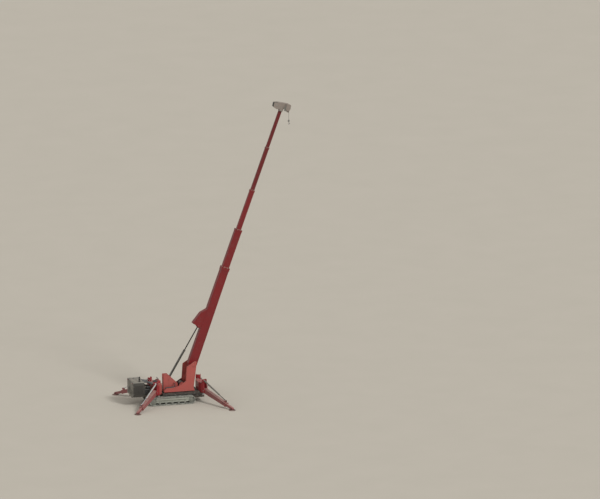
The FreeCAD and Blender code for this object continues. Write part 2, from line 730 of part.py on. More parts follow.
valve_high = dim.pedestal_left_high + dim.valve_height
valve_right = -dim.turret_sweep - dim.lug_gap
valve_left = valve_right - dim.valve_length
pieces = [block((valve_left, valve_right), across(dim.valve_width), (dim.pedestal_left_high, valve_high))]
lever_pitch = dim.valve_width / dim.lever_count
for index in range(int(dim.lever_count.number)):
    place = (index + 0.5) * lever_pitch - dim.valve_width / 2
    pieces.append(upright(dim.lever_radius, valve_left + dim.valve_length / 3, place,
                          (valve_high, valve_high + dim.lever_height)))
node("control_valves", fuse(*pieces))


# Turret: two cheek plates on a floor, with the luffing cylinder's foot bracket between them

cheek_middle = (dim.turret_width - dim.cheek_thickness) / 2
clear_width = dim.turret_width - 2 * dim.cheek_thickness
floor_high = turret_low + dim.floor_thickness
cheek_points = [
    (dim.turret_left, turret_low), (dim.turret_right, turret_low), (dim.column_waist, turret_low + dim.column_waist_rise),
    (dim.column_top_right, dim.column_high), (dim.column_crown, dim.column_high),
    (dim.column_top_left, dim.column_left_high),
    (dim.column_left, dim.cheek_middle_high + dim.shoulder_rise),
    (dim.column_left - dim.shoulder_run, dim.cheek_middle_high),
    (dim.turret_left + dim.step_run, dim.cheek_left_high + dim.step_rise),
    (dim.turret_left + dim.nose_run, dim.cheek_left_high),
    (dim.turret_left, dim.cheek_left_high - dim.nose_drop),
]
cheek_rounds = ((3, dim.column_round), (5, dim.column_round))
pieces = [block((dim.turret_left, dim.turret_right), across(clear_width), (turret_low, floor_high))]
for side, sign in SIDES:
    pieces.append(plate(cheek_points, dim.cheek_thickness, sign * cheek_middle, cheek_rounds))

column_plate_points = [
    (dim.column_waist - 2 * dim.column_plate, floor_high), (dim.column_waist - dim.column_plate, floor_high),
    (dim.column_top_right - 3 * dim.column_plate, dim.boom_foot_high - dim.column_plate_drop),
    (dim.column_top_right - 4 * dim.column_plate, dim.boom_foot_high - dim.column_plate_drop),
]
pieces.append(plate(column_plate_points, clear_width))

bracket_points = [
    (dim.bracket_left, floor_high), (dim.bracket_toe, floor_high), (dim.bracket_toe, dim.bracket_toe_high),
    (dim.bracket_left + dim.bracket_top_length, dim.bracket_high), (dim.bracket_left, dim.bracket_high),
]
for side, sign in SIDES:
    place = sign * (dim.bracket_inner + dim.bracket_plate) / 2
    pieces.append(plate(bracket_points, dim.bracket_plate, place))
pieces.append(block((dim.bracket_left, dim.bracket_left + dim.bracket_plate), across(dim.bracket_inner),
                    (floor_high, dim.luff_foot_high)))
bracket_width = dim.bracket_inner + 2 * dim.bracket_plate
pieces.append(cross_shaft(dim.luff_pin_radius, dim.luff_foot_across,
                          across(bracket_width + 2 * dim.hub_stand_out), dim.luff_foot_high))

winch_plate_near = dim.drum_width / 2 + dim.winch_gap
for side, sign in SIDES:
    place = sign * (winch_plate_near + dim.winch_plate / 2)
    pieces.append(block(across(2 * dim.flange_radius, dim.winch_across), across(dim.winch_plate, place),
                        (floor_high, dim.winch_high)))
    pieces.append(cross_shaft(dim.motor_radius + dim.winch_plate, dim.winch_across,
                              across(dim.winch_plate, place), dim.winch_high))
pieces.append(cross_shaft(dim.winch_shaft_radius, dim.winch_across, across(2 * winch_plate_near + dim.winch_plate),
                          dim.winch_high))
pieces.append(cross_shaft(dim.boom_shaft_radius, dim.boom_foot_across,
                          across(dim.turret_width + 2 * dim.hub_stand_out), dim.boom_foot_high))
node("turret_frame", fuse(*pieces))

motor_start = winch_plate_near + dim.winch_plate
node("winch_motor", cross_shaft(dim.motor_radius, dim.winch_across, (motor_start, motor_start + dim.motor_length),
                                dim.winch_high))

drum_ys = across(dim.drum_width)
drum = fuse(cross_shaft(dim.drum_radius, dim.winch_across, drum_ys, dim.winch_high),
            cross_shaft(dim.flange_radius, dim.winch_across, (drum_ys[0], drum_ys[0] + dim.flange_thickness),
                        dim.winch_high),
            cross_shaft(dim.flange_radius, dim.winch_across, (drum_ys[1] - dim.flange_thickness, drum_ys[1]),
                        dim.winch_high))
drum_bore = cross_shaft(dim.winch_shaft_radius + dim.pin_gap, dim.winch_across, across(2 * dim.drum_width),
                        dim.winch_high)
node("winch_drum", cut(drum, drum_bore))


# Boom: every section is made along +X from the boom pivot, with +Z towards the boom's
# underside, and then raised

def raise_boom(piece):
    turn(piece, (0, -1, 0), dim.boom_rise)
    return put(piece, dim.boom_foot_across, 0, dim.boom_foot_high)


def section_size(section, column):
    return getattr(dim, "%s_%s" % (section[0], column))


bore_height = section_size(SECTIONS[0], "height") + 2 * dim.slide_gap
bore_width = section_size(SECTIONS[0], "width") + 2 * dim.slide_gap
base_points = [
    (0, dim.base_under), (-dim.base_tail + dim.base_tail_slope, dim.base_under / 2), (-dim.base_tail, 0),
    (-dim.base_tail + dim.base_tail_slope, -dim.base_under / 2), (0, -dim.base_back_foot),
    (dim.base_length, -dim.base_back_head), (dim.base_length, dim.base_under),
]
collar_start = dim.base_length - dim.base_collar_length
boss_ys = across(clear_width - 2 * dim.boom_boss_gap)
base_solid = fuse(
    plate(base_points, dim.base_width),
    block((collar_start, dim.base_length), across(dim.base_width + 2 * dim.base_collar_proud),
          (-dim.base_back_head - dim.base_collar_proud, dim.base_under + dim.base_collar_proud)),
    cross_shaft(dim.boom_boss_radius, 0, boss_ys, 0),
)
base_bore = block((dim.base_hollow_start, dim.base_length + dim.base_tail), across(bore_width), across(bore_height))
shaft_bore = cross_shaft(dim.boom_shaft_radius + dim.pin_gap, 0, across(dim.turret_width), 0)
node("boom_base", raise_boom(cut(base_solid, base_bore, shaft_bore)))

for section in SECTIONS:
    height, width, wall, start, end = [section_size(section, column) for column in SECTION_COLUMNS]
    tube = block((start, end), across(width), across(height))
    hollow = block((start - wall, end + wall), across(width - 2 * wall), across(height - 2 * wall))
    if section is not SECTIONS[-1]:
        collar = block((end - dim.nose_collar_length, end), across(width + 2 * dim.nose_collar_proud),
                       across(height + 2 * dim.nose_collar_proud))
        tube = fuse(tube, collar)
    node(section[0], raise_boom(cut(tube, hollow)))


# Hood on the boom's underside, open at its lower edge, over the eye of the luffing rod

hood_points = [
    (dim.hood_start, dim.base_under), (dim.hood_peak, dim.hood_rise), (dim.hood_knee, dim.hood_knee_rise),
    (dim.hood_end, dim.base_under),
]
hood_inside = [
    (dim.hood_start - 8 * dim.hood_wall, dim.base_under - 2 * dim.hood_wall),
    (dim.hood_peak - 2 * dim.hood_wall, dim.hood_rise + dim.hood_wall / 2),
    (dim.hood_peak + dim.hood_wall / 2, dim.hood_rise - 2 * dim.hood_wall),
    (dim.hood_knee - dim.hood_wall / 2, dim.hood_knee_rise - dim.hood_wall),
    (dim.hood_end - 3 * dim.hood_wall, dim.base_under - 1),
    (dim.hood_end - 3 * dim.hood_wall, dim.base_under - 2 * dim.hood_wall),
]
pin_ys = across(dim.base_width + 2 * dim.base_collar_proud)
hood_shell = fuse(plate(hood_points, dim.base_width),
                  cross_shaft(dim.luff_eye_radius, dim.luff_eye_along, pin_ys, dim.luff_eye_rise))
node("luff_hood", raise_boom(cut(hood_shell, plate(hood_inside, dim.base_width - 2 * dim.hood_wall))))


# Luffing cylinder: made along +X from its lower pin and then turned up to its upper pin

rise = math.radians(dim.boom_rise.number)
eye_x = (dim.boom_foot_across.number + dim.luff_eye_along.number * math.cos(rise)
         - dim.luff_eye_rise.number * math.sin(rise))
eye_z = (dim.boom_foot_high.number + dim.luff_eye_along.number * math.sin(rise)
         + dim.luff_eye_rise.number * math.cos(rise))
luff_run = eye_x - dim.luff_foot_across.number
luff_climb = eye_z - dim.luff_foot_high.number
luff_length = math.hypot(luff_run, luff_climb)
luff_angle = math.degrees(math.atan2(luff_climb, luff_run))


def raise_cylinder(piece):
    turn(piece, (0, -1, 0), luff_angle)
    return put(piece, dim.luff_foot_across, 0, dim.luff_foot_high)


barrel = fuse(
    long_shaft(dim.barrel_radius, (0, dim.barrel_length), 0, 0),
    long_shaft(dim.gland_radius, (dim.barrel_length - dim.gland_length, dim.barrel_length), 0, 0),
    cross_shaft(dim.barrel_eye_radius, 0, across(dim.barrel_eye_width), 0),
)
barrel = cut(barrel, cross_shaft(dim.luff_pin_radius + dim.pin_gap, 0, across(dim.barrel_eye_width * 2), 0),
             long_shaft(dim.rod_radius + dim.rod_gap, (dim.barrel_eye_radius * 1.6, dim.barrel_length * 1.1), 0, 0))
node("luff_barrel", raise_cylinder(barrel))
rod = fuse(long_shaft(dim.rod_radius, (luff_length - dim.rod_length, luff_length), 0, 0),
           cross_shaft(dim.luff_eye_radius, luff_length, across(dim.luff_eye_width), 0))
node("luff_rod", raise_cylinder(rod))


# Boom head: two plates with a cover between them, the sheaves, and a neck on the last section

last_height, last_width, last_end = [section_size(SECTIONS[-1], column) for column in ("height", "width", "end")]
boom_end = last_end + dim.head_cap
plate_middle = (dim.head_plate_gap + dim.head_plate) / 2
half_neck = last_height / 2


head_low = boom_end - dim.head_corner / 2
head_high = boom_end + dim.head_top
head_left_high = head_high - dim.head_tilt
head_points = [
    (boom_end - dim.head_neck, half_neck), (boom_end, half_neck + dim.head_cap),
    (head_low, dim.head_left - dim.head_cheek), (boom_end, dim.head_left - dim.head_corner / 3),
    (boom_end + dim.head_cheek, dim.head_left), (head_left_high - dim.head_corner / 2, dim.head_left - dim.head_corner / 2),
    (head_left_high, dim.head_left - 2 * dim.head_corner), (head_high, dim.head_corner - dim.head_right),
    (head_high - dim.head_corner, -dim.head_right), (head_low, -dim.head_right),
    (head_low, dim.head_corner - dim.head_right), (boom_end + dim.head_throat, dim.head_cheek - dim.head_right),
    (boom_end + dim.head_throat, -half_neck - dim.head_cap), (boom_end - dim.head_neck, -half_neck),
]
head_rounds = ((4, dim.head_corner / 3), (7, dim.head_corner / 2), (8, dim.head_corner / 2))
pieces = []
for side, sign in SIDES:
    pieces.append(plate(head_points, dim.head_plate, sign * plate_middle, head_rounds))
inner_half = last_width / 2
strip = dim.head_plate_gap / 2 - inner_half
for side, sign in SIDES:
    pieces.append(block((boom_end - dim.head_neck, boom_end), across(strip, sign * (inner_half + strip / 2)),
                        across(2 * half_neck)))
pieces.append(block((last_end + dim.pin_gap, boom_end + dim.head_solid), across(dim.head_plate_gap), across(2 * half_neck)))
cover_left, cover_right = dim.head_left - 2 * dim.head_corner, dim.head_corner - dim.head_right
pieces.append(plate([(head_left_high - 2 * dim.head_cover, cover_left), (head_left_high - dim.head_cover, cover_left),
                     (head_high - dim.head_cover, cover_right), (head_high - 2 * dim.head_cover, cover_right)],
                    dim.head_plate_gap))
axle_ys = (dim.fall_side - dim.sheave_width, plate_middle + dim.head_plate)
pieces.append(cross_shaft(dim.axle_radius, boom_end + dim.fall_sheave_along, axle_ys, -dim.fall_sheave_back))
pieces.append(cross_shaft(dim.axle_cap, boom_end + dim.fall_sheave_along,
                          (dim.fall_side - dim.sheave_width, dim.fall_side - 0.7 * dim.sheave_width),
                          -dim.fall_sheave_back))
pieces.append(cross_shaft(dim.axle_radius, boom_end + dim.guide_sheave_along, across(dim.head_plate_gap),
                          dim.guide_sheave_rise))
node("boom_head", raise_boom(fuse(*pieces)))


def sheave(along, side, rise):
    """A grooved wheel on an axle along Y."""
    rim = dim.sheave_radius + dim.sheave_rim
    wheel = cross_shaft(rim, along, across(dim.sheave_width, side), rise)
    outer = cross_shaft(2 * rim, along, across(dim.sheave_groove, side), rise)
    core = cross_shaft(dim.sheave_radius, along, across(2 * dim.sheave_groove, side), rise)
    bore = cross_shaft(dim.axle_radius + dim.pin_gap, along, across(2 * dim.sheave_width, side), rise)
    return cut(wheel, cut(outer, core), bore)


node("fall_sheave", raise_boom(sheave(boom_end + dim.fall_sheave_along, dim.fall_side, -dim.fall_sheave_back)))
node("guide_sheave", raise_boom(sheave(boom_end + dim.guide_sheave_along, 0, dim.guide_sheave_rise)))


# Hook block on its rope, hanging plumb from the fall sheave

fall_x = (dim.boom_foot_across + (boom_end + dim.fall_sheave_along) * cosine(dim.boom_rise)
          + dim.fall_sheave_back * sine(dim.boom_rise))
fall_z = (dim.boom_foot_high + (boom_end + dim.fall_sheave_along) * sine(dim.boom_rise)
          - dim.fall_sheave_back * cosine(dim.boom_rise))
rope_x = fall_x + dim.sheave_radius + dim.rope_radius + dim.rope_radius / 9
block_top = fall_z - dim.rope_fall
block_low = block_top - dim.block_height
node("hook_block", fuse(upright(dim.rope_radius, rope_x, dim.fall_side, (block_top, fall_z)),
                        upright(dim.block_radius, rope_x, dim.fall_side, (block_low, block_top))))

hook_top = block_low - dim.ring_gap / 2
bowl_middle = hook_top - dim.shank_length - dim.hook_radius


def bowl_outline():
    """The hook's bowl: flats round its middle line from the shank to the tip, which is thinner."""
    outer, inner = [], []
    for step in range(HOOK_FLATS + 1):
        angle = (90 - step / HOOK_FLATS * dim.hook_sweep)
        half = dim.hook_thickness * (1 - 0.45 * (step / HOOK_FLATS) ** 3)
        for side, radius in ((outer, dim.hook_radius + half), (inner, dim.hook_radius - half)):
            side.append((rope_x + radius * cosine(angle), bowl_middle + radius * sine(angle)))
    return outer + inner[::-1]


HOOK_FLATS = 10
node("hook", fuse(plate(bowl_outline(), 1.6 * dim.hook_thickness, dim.fall_side),
                  upright(dim.shank_radius, rope_x, dim.fall_side, (hook_top - dim.shank_length - dim.hook_thickness, hook_top))))


# Outrigger pieces: swing bracket, leg box, sliding leg with its foot, cylinder and rod

plate_gap = dim.leg_width / 2 + dim.swing_plate_gap
swing_plate_middle = plate_gap + dim.swing_plate / 2
bracket_low = dim.lug_low + dim.lug_thickness + dim.lug_gap


def swing_bracket(leg):
    top = leg.pedestal_high - dim.lug_thickness - dim.lug_gap
    pin = dim.jack_pin_out
    toe = dim.root_out + dim.swing_toe
    heel_high = leg.root_high - dim.swing_toe
    points = [
        (0, bracket_low), (dim.swing_toe, bracket_low), (dim.root_out - dim.swing_toe + dim.swing_corner, heel_high),
        (toe - dim.swing_corner, heel_high), (toe, heel_high + dim.swing_neck), (toe, leg.root_high + dim.swing_corner),
        (pin + dim.swing_neck + dim.swing_plate, leg.root_high + dim.swing_step), (pin + dim.swing_neck, leg.bracket_high),
        (pin - dim.swing_neck, leg.bracket_high), (pin - dim.swing_neck, top), (0, top),
    ]
    pieces = [upright(dim.bracket_barrel_radius, 0, 0, (bracket_low, top)),
              block((0, dim.root_out - dim.leg_root_radius - dim.lug_gap * 3), across(2 * plate_gap),
                    (bracket_low + dim.swing_web, top - dim.swing_web))]
    for side, sign in SIDES:
        pieces.append(plate(points, dim.swing_plate, sign * swing_plate_middle))
    pin_ys = across(2 * (plate_gap + dim.swing_plate) + dim.hub_stand_out)
    pieces.append(cross_shaft(dim.leg_pin_radius, dim.root_out, pin_ys, leg.root_high))
    pieces.append(cross_shaft(dim.jack_pin_radius, pin, pin_ys, leg.jack_high))
    bore = upright(dim.kingpin_radius + dim.pin_gap, 0, 0, (dim.spine_low, dim.column_high))
    return leg.place(cut(fuse(*pieces), bore), 0, 0, 0)


def leg_box(leg):
    end = dim.leg_share * leg.length
    half_root, half_end = dim.leg_root_height / 2, dim.leg_end_height / 2
    points = [(0, -half_root), (dim.bore_start, -half_root), (end, -half_end), (end, half_end),
              (dim.bore_start, half_root), (0, half_root)]
    pin_place = dim.jack_pin_share * leg.length
    ear_top = dim.jack_pin_rise + dim.jack_eye_radius
    solid = fuse(plate(points, dim.leg_width), cross_shaft(dim.leg_root_radius, 0, across(dim.leg_width), 0))
    bore = block((dim.bore_start, end * 1.2), across(dim.inner_leg_width + 2 * dim.inner_leg_gap),
                 across(dim.inner_leg_height + 2 * dim.inner_leg_gap))
    box = cut(solid, bore, cross_shaft(dim.leg_pin_radius + dim.pin_gap, 0, across(2 * dim.leg_width), 0))
    collar_solid = block((end - dim.leg_collar, end), across(dim.leg_width + 2 * dim.leg_collar_proud),
                         across(dim.leg_end_height + 2 * dim.leg_collar_proud))
    pieces = [box, cut(collar_solid, bore)]
    ear_middle = dim.jack_eye_width / 2 + dim.ear_gap + dim.ear_thickness / 2
    for side, sign in SIDES:
        ear = plate([(pin_place - dim.ear_length, half_end), (pin_place + dim.ear_length / 3, half_end),
                     (pin_place + dim.ear_length / 3, ear_top), (pin_place - dim.ear_length / 3, ear_top)],
                    dim.ear_thickness, sign * ear_middle)
        boss_ys = across(dim.ear_thickness * 2, sign * (ear_middle + dim.ear_thickness / 2))
        pieces += [ear, cross_shaft(dim.jack_pin_radius * 1.3, pin_place, boss_ys, dim.jack_pin_rise)]
    return leg.place(fuse(*pieces), dim.root_out, leg.root_high, leg.slope)


def sliding_leg(leg):
    """The sliding leg, its ankle and its flat foot, made level and then sloped with the leg."""
    bar = fuse(block((dim.inner_leg_start, leg.length), across(dim.inner_leg_width), across(dim.inner_leg_height)),
               cross_shaft(dim.inner_leg_height / 2, leg.length, across(dim.inner_leg_width), 0))
    bar = leg.place(bar, dim.root_out, leg.root_high, leg.slope)
    foot_out = dim.root_out + leg.reach
    foot = fuse(upright(dim.foot_radius, foot_out, 0, (0, dim.foot_edge)),
                cone(dim.foot_radius, dim.foot_crown, foot_out, 0, (dim.foot_edge, dim.foot_thickness)),
                upright(dim.ankle_radius, foot_out, 0, (0, dim.ankle_height)))
    foot = leg.place(foot, 0, 0, 0)
    return fuse(bar, foot)


def jack_barrel(leg):
    end = dim.jack_barrel_share * leg.jack_length
    eye = dim.jack_barrel_radius * 1.2
    solid = fuse(long_shaft(dim.jack_barrel_radius, (0, end), 0, 0),
                 cross_shaft(eye, 0, across(dim.jack_eye_width * 1.5), 0))
    bores = (long_shaft(dim.jack_rod_radius + dim.rod_gap, (eye * 1.5, end * 1.2), 0, 0),
             cross_shaft(dim.jack_pin_radius + dim.pin_gap, 0, across(dim.leg_width), 0))
    return leg.place(cut(solid, *bores), dim.jack_pin_out, leg.jack_high, leg.jack_slope)


def jack_rod(leg):
    start = leg.jack_length - dim.jack_rod_share * leg.jack_length
    solid = fuse(long_shaft(dim.jack_rod_radius, (start, leg.jack_length), 0, 0),
                 cross_shaft(dim.jack_eye_radius, leg.jack_length, across(dim.jack_eye_width), 0))
    return leg.place(solid, dim.jack_pin_out, leg.jack_high, leg.jack_slope)


for leg in outriggers.values():
    node(leg.name + "bracket", swing_bracket(leg))
    node(leg.name + "leg", leg_box(leg))
    node(leg.name + "foot", sliding_leg(leg))
    node(leg.name + "cylinder", jack_barrel(leg))
    node(leg.name + "rod", jack_rod(leg))


# Check every object, and write each sub-part

doc.recompute()
for item in doc.Objects:
    if "Invalid" in item.State or "Error" in item.State:
        raise RuntimeError("failed to build: %s %s" % (item.Label, item.State))
os.makedirs("parts", exist_ok=True)
for piece in nodes:
    shape = piece.Shape
    if shape.isNull() or not shape.isValid():
        raise RuntimeError("bad shape: " + piece.Label)
    shape.exportStep("parts/%s.step" % piece.Label)
    box = shape.BoundBox
    print("%-34s solids %d  x %8.1f %8.1f  y %8.1f %8.1f  z %8.1f %8.1f" % (
        piece.Label, len(shape.Solids), box.XMin, box.XMax, box.YMin, box.YMax, box.ZMin, box.ZMax))
print(len(nodes), "sub-parts")
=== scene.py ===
import math

import bmesh
import bpy
from mathutils import Matrix, Vector


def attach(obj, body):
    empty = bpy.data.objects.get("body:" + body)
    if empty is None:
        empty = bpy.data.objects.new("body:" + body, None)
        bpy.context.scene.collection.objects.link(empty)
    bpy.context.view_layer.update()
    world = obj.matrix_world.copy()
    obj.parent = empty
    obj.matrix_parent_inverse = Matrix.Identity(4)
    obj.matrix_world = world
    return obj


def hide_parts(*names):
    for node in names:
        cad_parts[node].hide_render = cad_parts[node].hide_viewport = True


# A spider crane on two crawler tracks. Metres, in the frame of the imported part: the origin is on
# the ground on the slew axis, +X runs along the tracks, +Y is the far side and +Z is up.

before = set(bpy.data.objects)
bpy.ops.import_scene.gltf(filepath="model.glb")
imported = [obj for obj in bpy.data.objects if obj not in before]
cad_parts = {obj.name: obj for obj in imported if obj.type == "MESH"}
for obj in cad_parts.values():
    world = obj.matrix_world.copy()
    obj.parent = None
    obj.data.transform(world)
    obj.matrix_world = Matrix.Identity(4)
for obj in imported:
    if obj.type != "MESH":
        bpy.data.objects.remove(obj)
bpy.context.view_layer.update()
SIDES = (("near", -1), ("far", 1))


# Node trees written as Python expressions

class Flow:
    """A value on its way through a node tree. Sums and products on it add Math nodes."""

    def __init__(self, net, socket):
        self.net = net
        self.socket = socket

    def sum_node(self, operation, *others, turned=False, clamp=False):
        values = [self, *others]
        if turned:
            values.reverse()
        settings = {"operation": operation, "use_clamp": clamp}
        return self.net.node("ShaderNodeMath", settings, dict(enumerate(values)))

    def __add__(self, other):
        return self.sum_node("ADD", other)

    __radd__ = __add__

    def __sub__(self, other):
        return self.sum_node("SUBTRACT", other)

    def __rsub__(self, other):
        return self.sum_node("SUBTRACT", other, turned=True)

    def __mul__(self, other):
        return self.sum_node("MULTIPLY", other)

    def __truediv__(self, other):
        return self.sum_node("DIVIDE", other)

    def between(self, low, high):
        """0 below low, 1 above high, and a ramp between them."""
        return ((self - low) / (high - low)).sum_node("ADD", 0.0, clamp=True)


class Net:
    """A node tree with one method that adds nodes to it."""

    def __init__(self, tree):
        self.tree = tree

    def node(self, kind, settings=None, values=None, out=0):
        made = self.tree.nodes.new(kind)
        for name, value in (settings or {}).items():
            setattr(made, name, value)
        for name, value in (values or {}).items():
            socket = made.inputs[name]
            if isinstance(value, Flow):
                self.tree.links.new(value.socket, socket)
            else:
                socket.default_value = value
        return Flow(self, made.outputs[out]) if made.outputs else None


def rgb(red, green, blue):
    return (red, green, blue, 1.0)


class Finish(Net):
    """A material on Object coordinates. Its surface is set once its patterns are made."""

    def __init__(self, name):
        self.material = bpy.data.materials.new(name)
        self.material.use_nodes = True
        super().__init__(self.material.node_tree)
        self.tree.nodes.clear()
        self.place = self.node("ShaderNodeTexCoord", out="Object")

    def noise(self, scale, detail=4.0, rough=0.55, stretch=None):
        place = self.place
        if stretch:
            place = self.node("ShaderNodeMapping", values={"Vector": place, "Scale": stretch})
        values = {"Vector": place, "Scale": scale, "Detail": detail, "Roughness": rough}
        return self.node("ShaderNodeTexNoise", values=values)

    def facing_up(self):
        """How far a face looks up, from -1 to 1, in the piece's own axes."""
        normal = self.node("ShaderNodeTexCoord", out="Normal")
        return self.node("ShaderNodeSeparateXYZ", values={"Vector": normal}, out="Z")

    def mix(self, factor, first, second):
        return self.node("ShaderNodeMix", {"data_type": "RGBA"}, {0: factor, 6: first, 7: second}, out=2)

    def bump(self, height, depth, strength=1.0):
        return self.node("ShaderNodeBump", values={"Height": height, "Distance": depth, "Strength": strength})

    def surface(self, colour, roughness, metallic=0.0, normal=None, **fixed):
        values = {"Base Color": colour, "Roughness": roughness, "Metallic": metallic}
        if normal:
            values["Normal"] = normal
        values.update(fixed)
        shader = self.node("ShaderNodeBsdfPrincipled", values=values)
        self.node("ShaderNodeOutputMaterial", values={"Surface": shader})
        return self.material


def painted(name, colour, faded, dusty=0.45, gloss=0.34, worn=0.62):
    """Brushed-on machine paint: faded patches, dust on top, run-down grime and small chips."""
    net = Finish(name)
    patches = net.noise(0.7, 3.0).between(0.35, 0.7)
    mottle = net.noise(22.0, 6.0).between(0.3, 0.75)
    body = net.mix(patches * 0.7 + mottle * 0.25, rgb(*colour), rgb(*faded))
    grime = net.noise(1.0, 5.0, stretch=(11.0, 11.0, 1.1)).between(0.56, 0.8)
    dark = tuple(0.35 * part for part in colour)
    body = net.mix(grime * 0.4, body, rgb(*dark))
    dust = net.facing_up().between(0.55, 0.98) * net.noise(5.0, 6.0).between(0.3, 0.7)
    body = net.mix(dust * dusty, body, rgb(0.42, 0.37, 0.3))
    chips = net.noise(34.0, 4.0).between(worn, worn + 0.03) * net.noise(2.1, 2.0).between(0.52, 0.62)
    body = net.mix(chips, body, rgb(0.16, 0.14, 0.13))
    rough = gloss + mottle * 0.12 + dust * 0.35 + chips * 0.25 + grime * 0.1
    peel = net.noise(150.0, 2.0) * 0.5 - chips * 0.8
    return net.surface(body, rough, chips * 0.6, net.bump(peel, 0.0006, 0.5))


def bare_metal(name, colour, gloss=0.35, brushed=(1.0, 1.0, 1.0), stained=0.5):
    """Machined or plated steel, with fine lines along one axis and brown stains."""
    net = Finish(name)
    lines = net.noise(60.0, 5.0, stretch=brushed)
    stains = net.noise(4.0, 6.0).between(0.5, 0.8)
    dark = tuple(0.45 * part for part in colour)
    body = net.mix(lines.between(0.3, 0.7) * 0.5, rgb(*colour), rgb(*dark))
    body = net.mix(stains * stained, body, rgb(0.12, 0.075, 0.045))
    rough = gloss + stains * 0.3 + lines * 0.1
    return net.surface(body, rough, 0.95 - stains * 0.5, net.bump(lines, 0.0004, 0.4))


def cast_iron(name, colour):
    """Rough cast and blackened iron, oily in places."""
    net = Finish(name)
    grain = net.noise(70.0, 6.0)
    oil = net.noise(6.0, 4.0).between(0.5, 0.7)
    pale = tuple(min(1.0, 1.7 * part + 0.02) for part in colour)
    body = net.mix(grain.between(0.4, 0.8), rgb(*colour), rgb(*pale))
    dust = net.facing_up().between(0.5, 0.95) * net.noise(7.0, 5.0).between(0.35, 0.75)
    body = net.mix(dust * 0.5, body, rgb(0.36, 0.32, 0.26))
    return net.surface(body, 0.62 - oil * 0.25 + dust * 0.2, 0.35, net.bump(grain, 0.002, 0.6))


def track_rubber():
    """Pale, dusty rubber in darker and paler patches at random, with paler scuffs along the track."""
    net = Finish("track_rubber")
    cake = net.noise(9.0, 7.0).between(0.35, 0.68)
    grain = net.noise(120.0, 4.0)
    body = net.mix(cake, rgb(0.13, 0.13, 0.115), rgb(0.33, 0.34, 0.295))
    scuffs = net.noise(30.0, 5.0, stretch=(1.0, 5.0, 1.0)).between(0.55, 0.75)
    body = net.mix(scuffs * 0.5, body, rgb(0.45, 0.46, 0.4))
    return net.surface(body, 0.82 - scuffs * 0.1, 0.0, net.bump(grain + cake, 0.0015, 0.5))


def deck_plate():
    """Dark deck paint over a raised pattern of slanted bars, on the faces that look up."""
    net = Finish("deck_paint")
    wear = net.noise(3.0, 5.0).between(0.4, 0.72)
    turned = net.node("ShaderNodeMapping", values={"Vector": net.place, "Rotation": (0.0, 0.0, 0.785)})
    rows = net.node("ShaderNodeTexWave", {"bands_direction": "X"}, {"Vector": turned, "Scale": 9.0})
    cross = net.node("ShaderNodeTexWave", {"bands_direction": "Y"}, {"Vector": turned, "Scale": 9.0})
    bars = (rows * cross).between(0.45, 0.6) * net.facing_up().between(0.8, 0.95)
    body = net.mix(wear * 0.8, rgb(0.045, 0.038, 0.032), rgb(0.09, 0.074, 0.06))
    body = net.mix(bars * 0.5, body, rgb(0.13, 0.118, 0.105))
    return net.surface(body, 0.58 - bars * 0.15 + wear * 0.2, 0.2, net.bump(bars, 0.003, 0.9))


def nylon(name, colour):
    """Moulded plastic with a fine grain and rubbed spots."""
    net = Finish(name)
    rubbed = net.noise(18.0, 5.0).between(0.5, 0.75)
    pale = tuple(min(1.0, 1.5 * part + 0.015) for part in colour)
    body = net.mix(rubbed * 0.6, rgb(*colour), rgb(*pale))
    return net.surface(body, 0.5 - rubbed * 0.12, 0.0, net.bump(net.noise(200.0, 2.0), 0.0004, 0.5))


def rope_strands():
    """Steel rope: dark grooves across its lay, greased."""
    net = Finish("rope_strands")
    lay = net.node("ShaderNodeTexWave", {"bands_direction": "DIAGONAL"}, {"Vector": net.place, "Scale": 60.0})
    grease = net.noise(15.0, 4.0).between(0.4, 0.7)
    body = net.mix(lay, rgb(0.1, 0.095, 0.09), rgb(0.36, 0.35, 0.33))
    body = net.mix(grease * 0.5, body, rgb(0.09, 0.075, 0.06))
    return net.surface(body, 0.5 - grease * 0.15, 0.8, net.bump(lay, 0.001, 0.8))


def lamp_lens(name, colour):
    """A ribbed lens over a lamp."""
    net = Finish(name)
    ribs = net.node("ShaderNodeTexWave", {"bands_direction": "Z"}, {"Vector": net.place, "Scale": 70.0})
    pale = tuple(min(1.0, 1.6 * part + 0.03) for part in colour)
    body = net.mix(ribs, rgb(*colour), rgb(*pale))
    return net.surface(body, 0.12 + ribs * 0.05, 0.0, net.bump(ribs, 0.001, 0.6))


BOOM_RED = painted("boom_red", (0.180, 0.004, 0.006), (0.145, 0.006, 0.008), dusty=0.1, gloss=0.40)
BOOM_DARK = painted("boom_dark", (0.126, 0.004, 0.005), (0.102, 0.006, 0.006), dusty=0.08, gloss=0.42)
LEG_RED = painted("leg_red", (0.30, 0.020, 0.026), (0.25, 0.036, 0.038), dusty=0.45)
LEG_DULL = painted("leg_dull", (0.25, 0.062, 0.062), (0.21, 0.085, 0.082), dusty=0.45)
TURRET_RED = painted("turret_red", (0.37, 0.066, 0.056), (0.33, 0.090, 0.074), dusty=0.5)
FRAME_GREY = painted("frame_grey", (0.085, 0.068, 0.055), (0.12, 0.098, 0.08), dusty=0.4, gloss=0.45)
PACK_GREY = painted("pack_grey", (0.135, 0.125, 0.105), (0.165, 0.155, 0.132), dusty=0.45, gloss=0.42)
PACK_DARK = painted("pack_dark", (0.038, 0.035, 0.03), (0.055, 0.05, 0.043), dusty=0.35, gloss=0.48)
HEAD_BEIGE = painted("head_beige", (0.258, 0.218, 0.186), (0.215, 0.178, 0.15), dusty=0.3, gloss=0.4)
# One jack paint in two copies, a lit light grey and a shaded dark: painted light and painted shade.
JACK_SHADED_DARK = painted("jack_dark", (0.10, 0.098, 0.08), (0.14, 0.135, 0.115), dusty=0.3, gloss=0.38)
JACK_LIT_GREY = painted("jack_grey", (0.42, 0.41, 0.39), (0.34, 0.335, 0.32), dusty=0.3, gloss=0.35)
EXHAUST_BLACK = painted("exhaust_black", (0.012, 0.011, 0.010), (0.03, 0.024, 0.02), dusty=0.1, gloss=0.6)
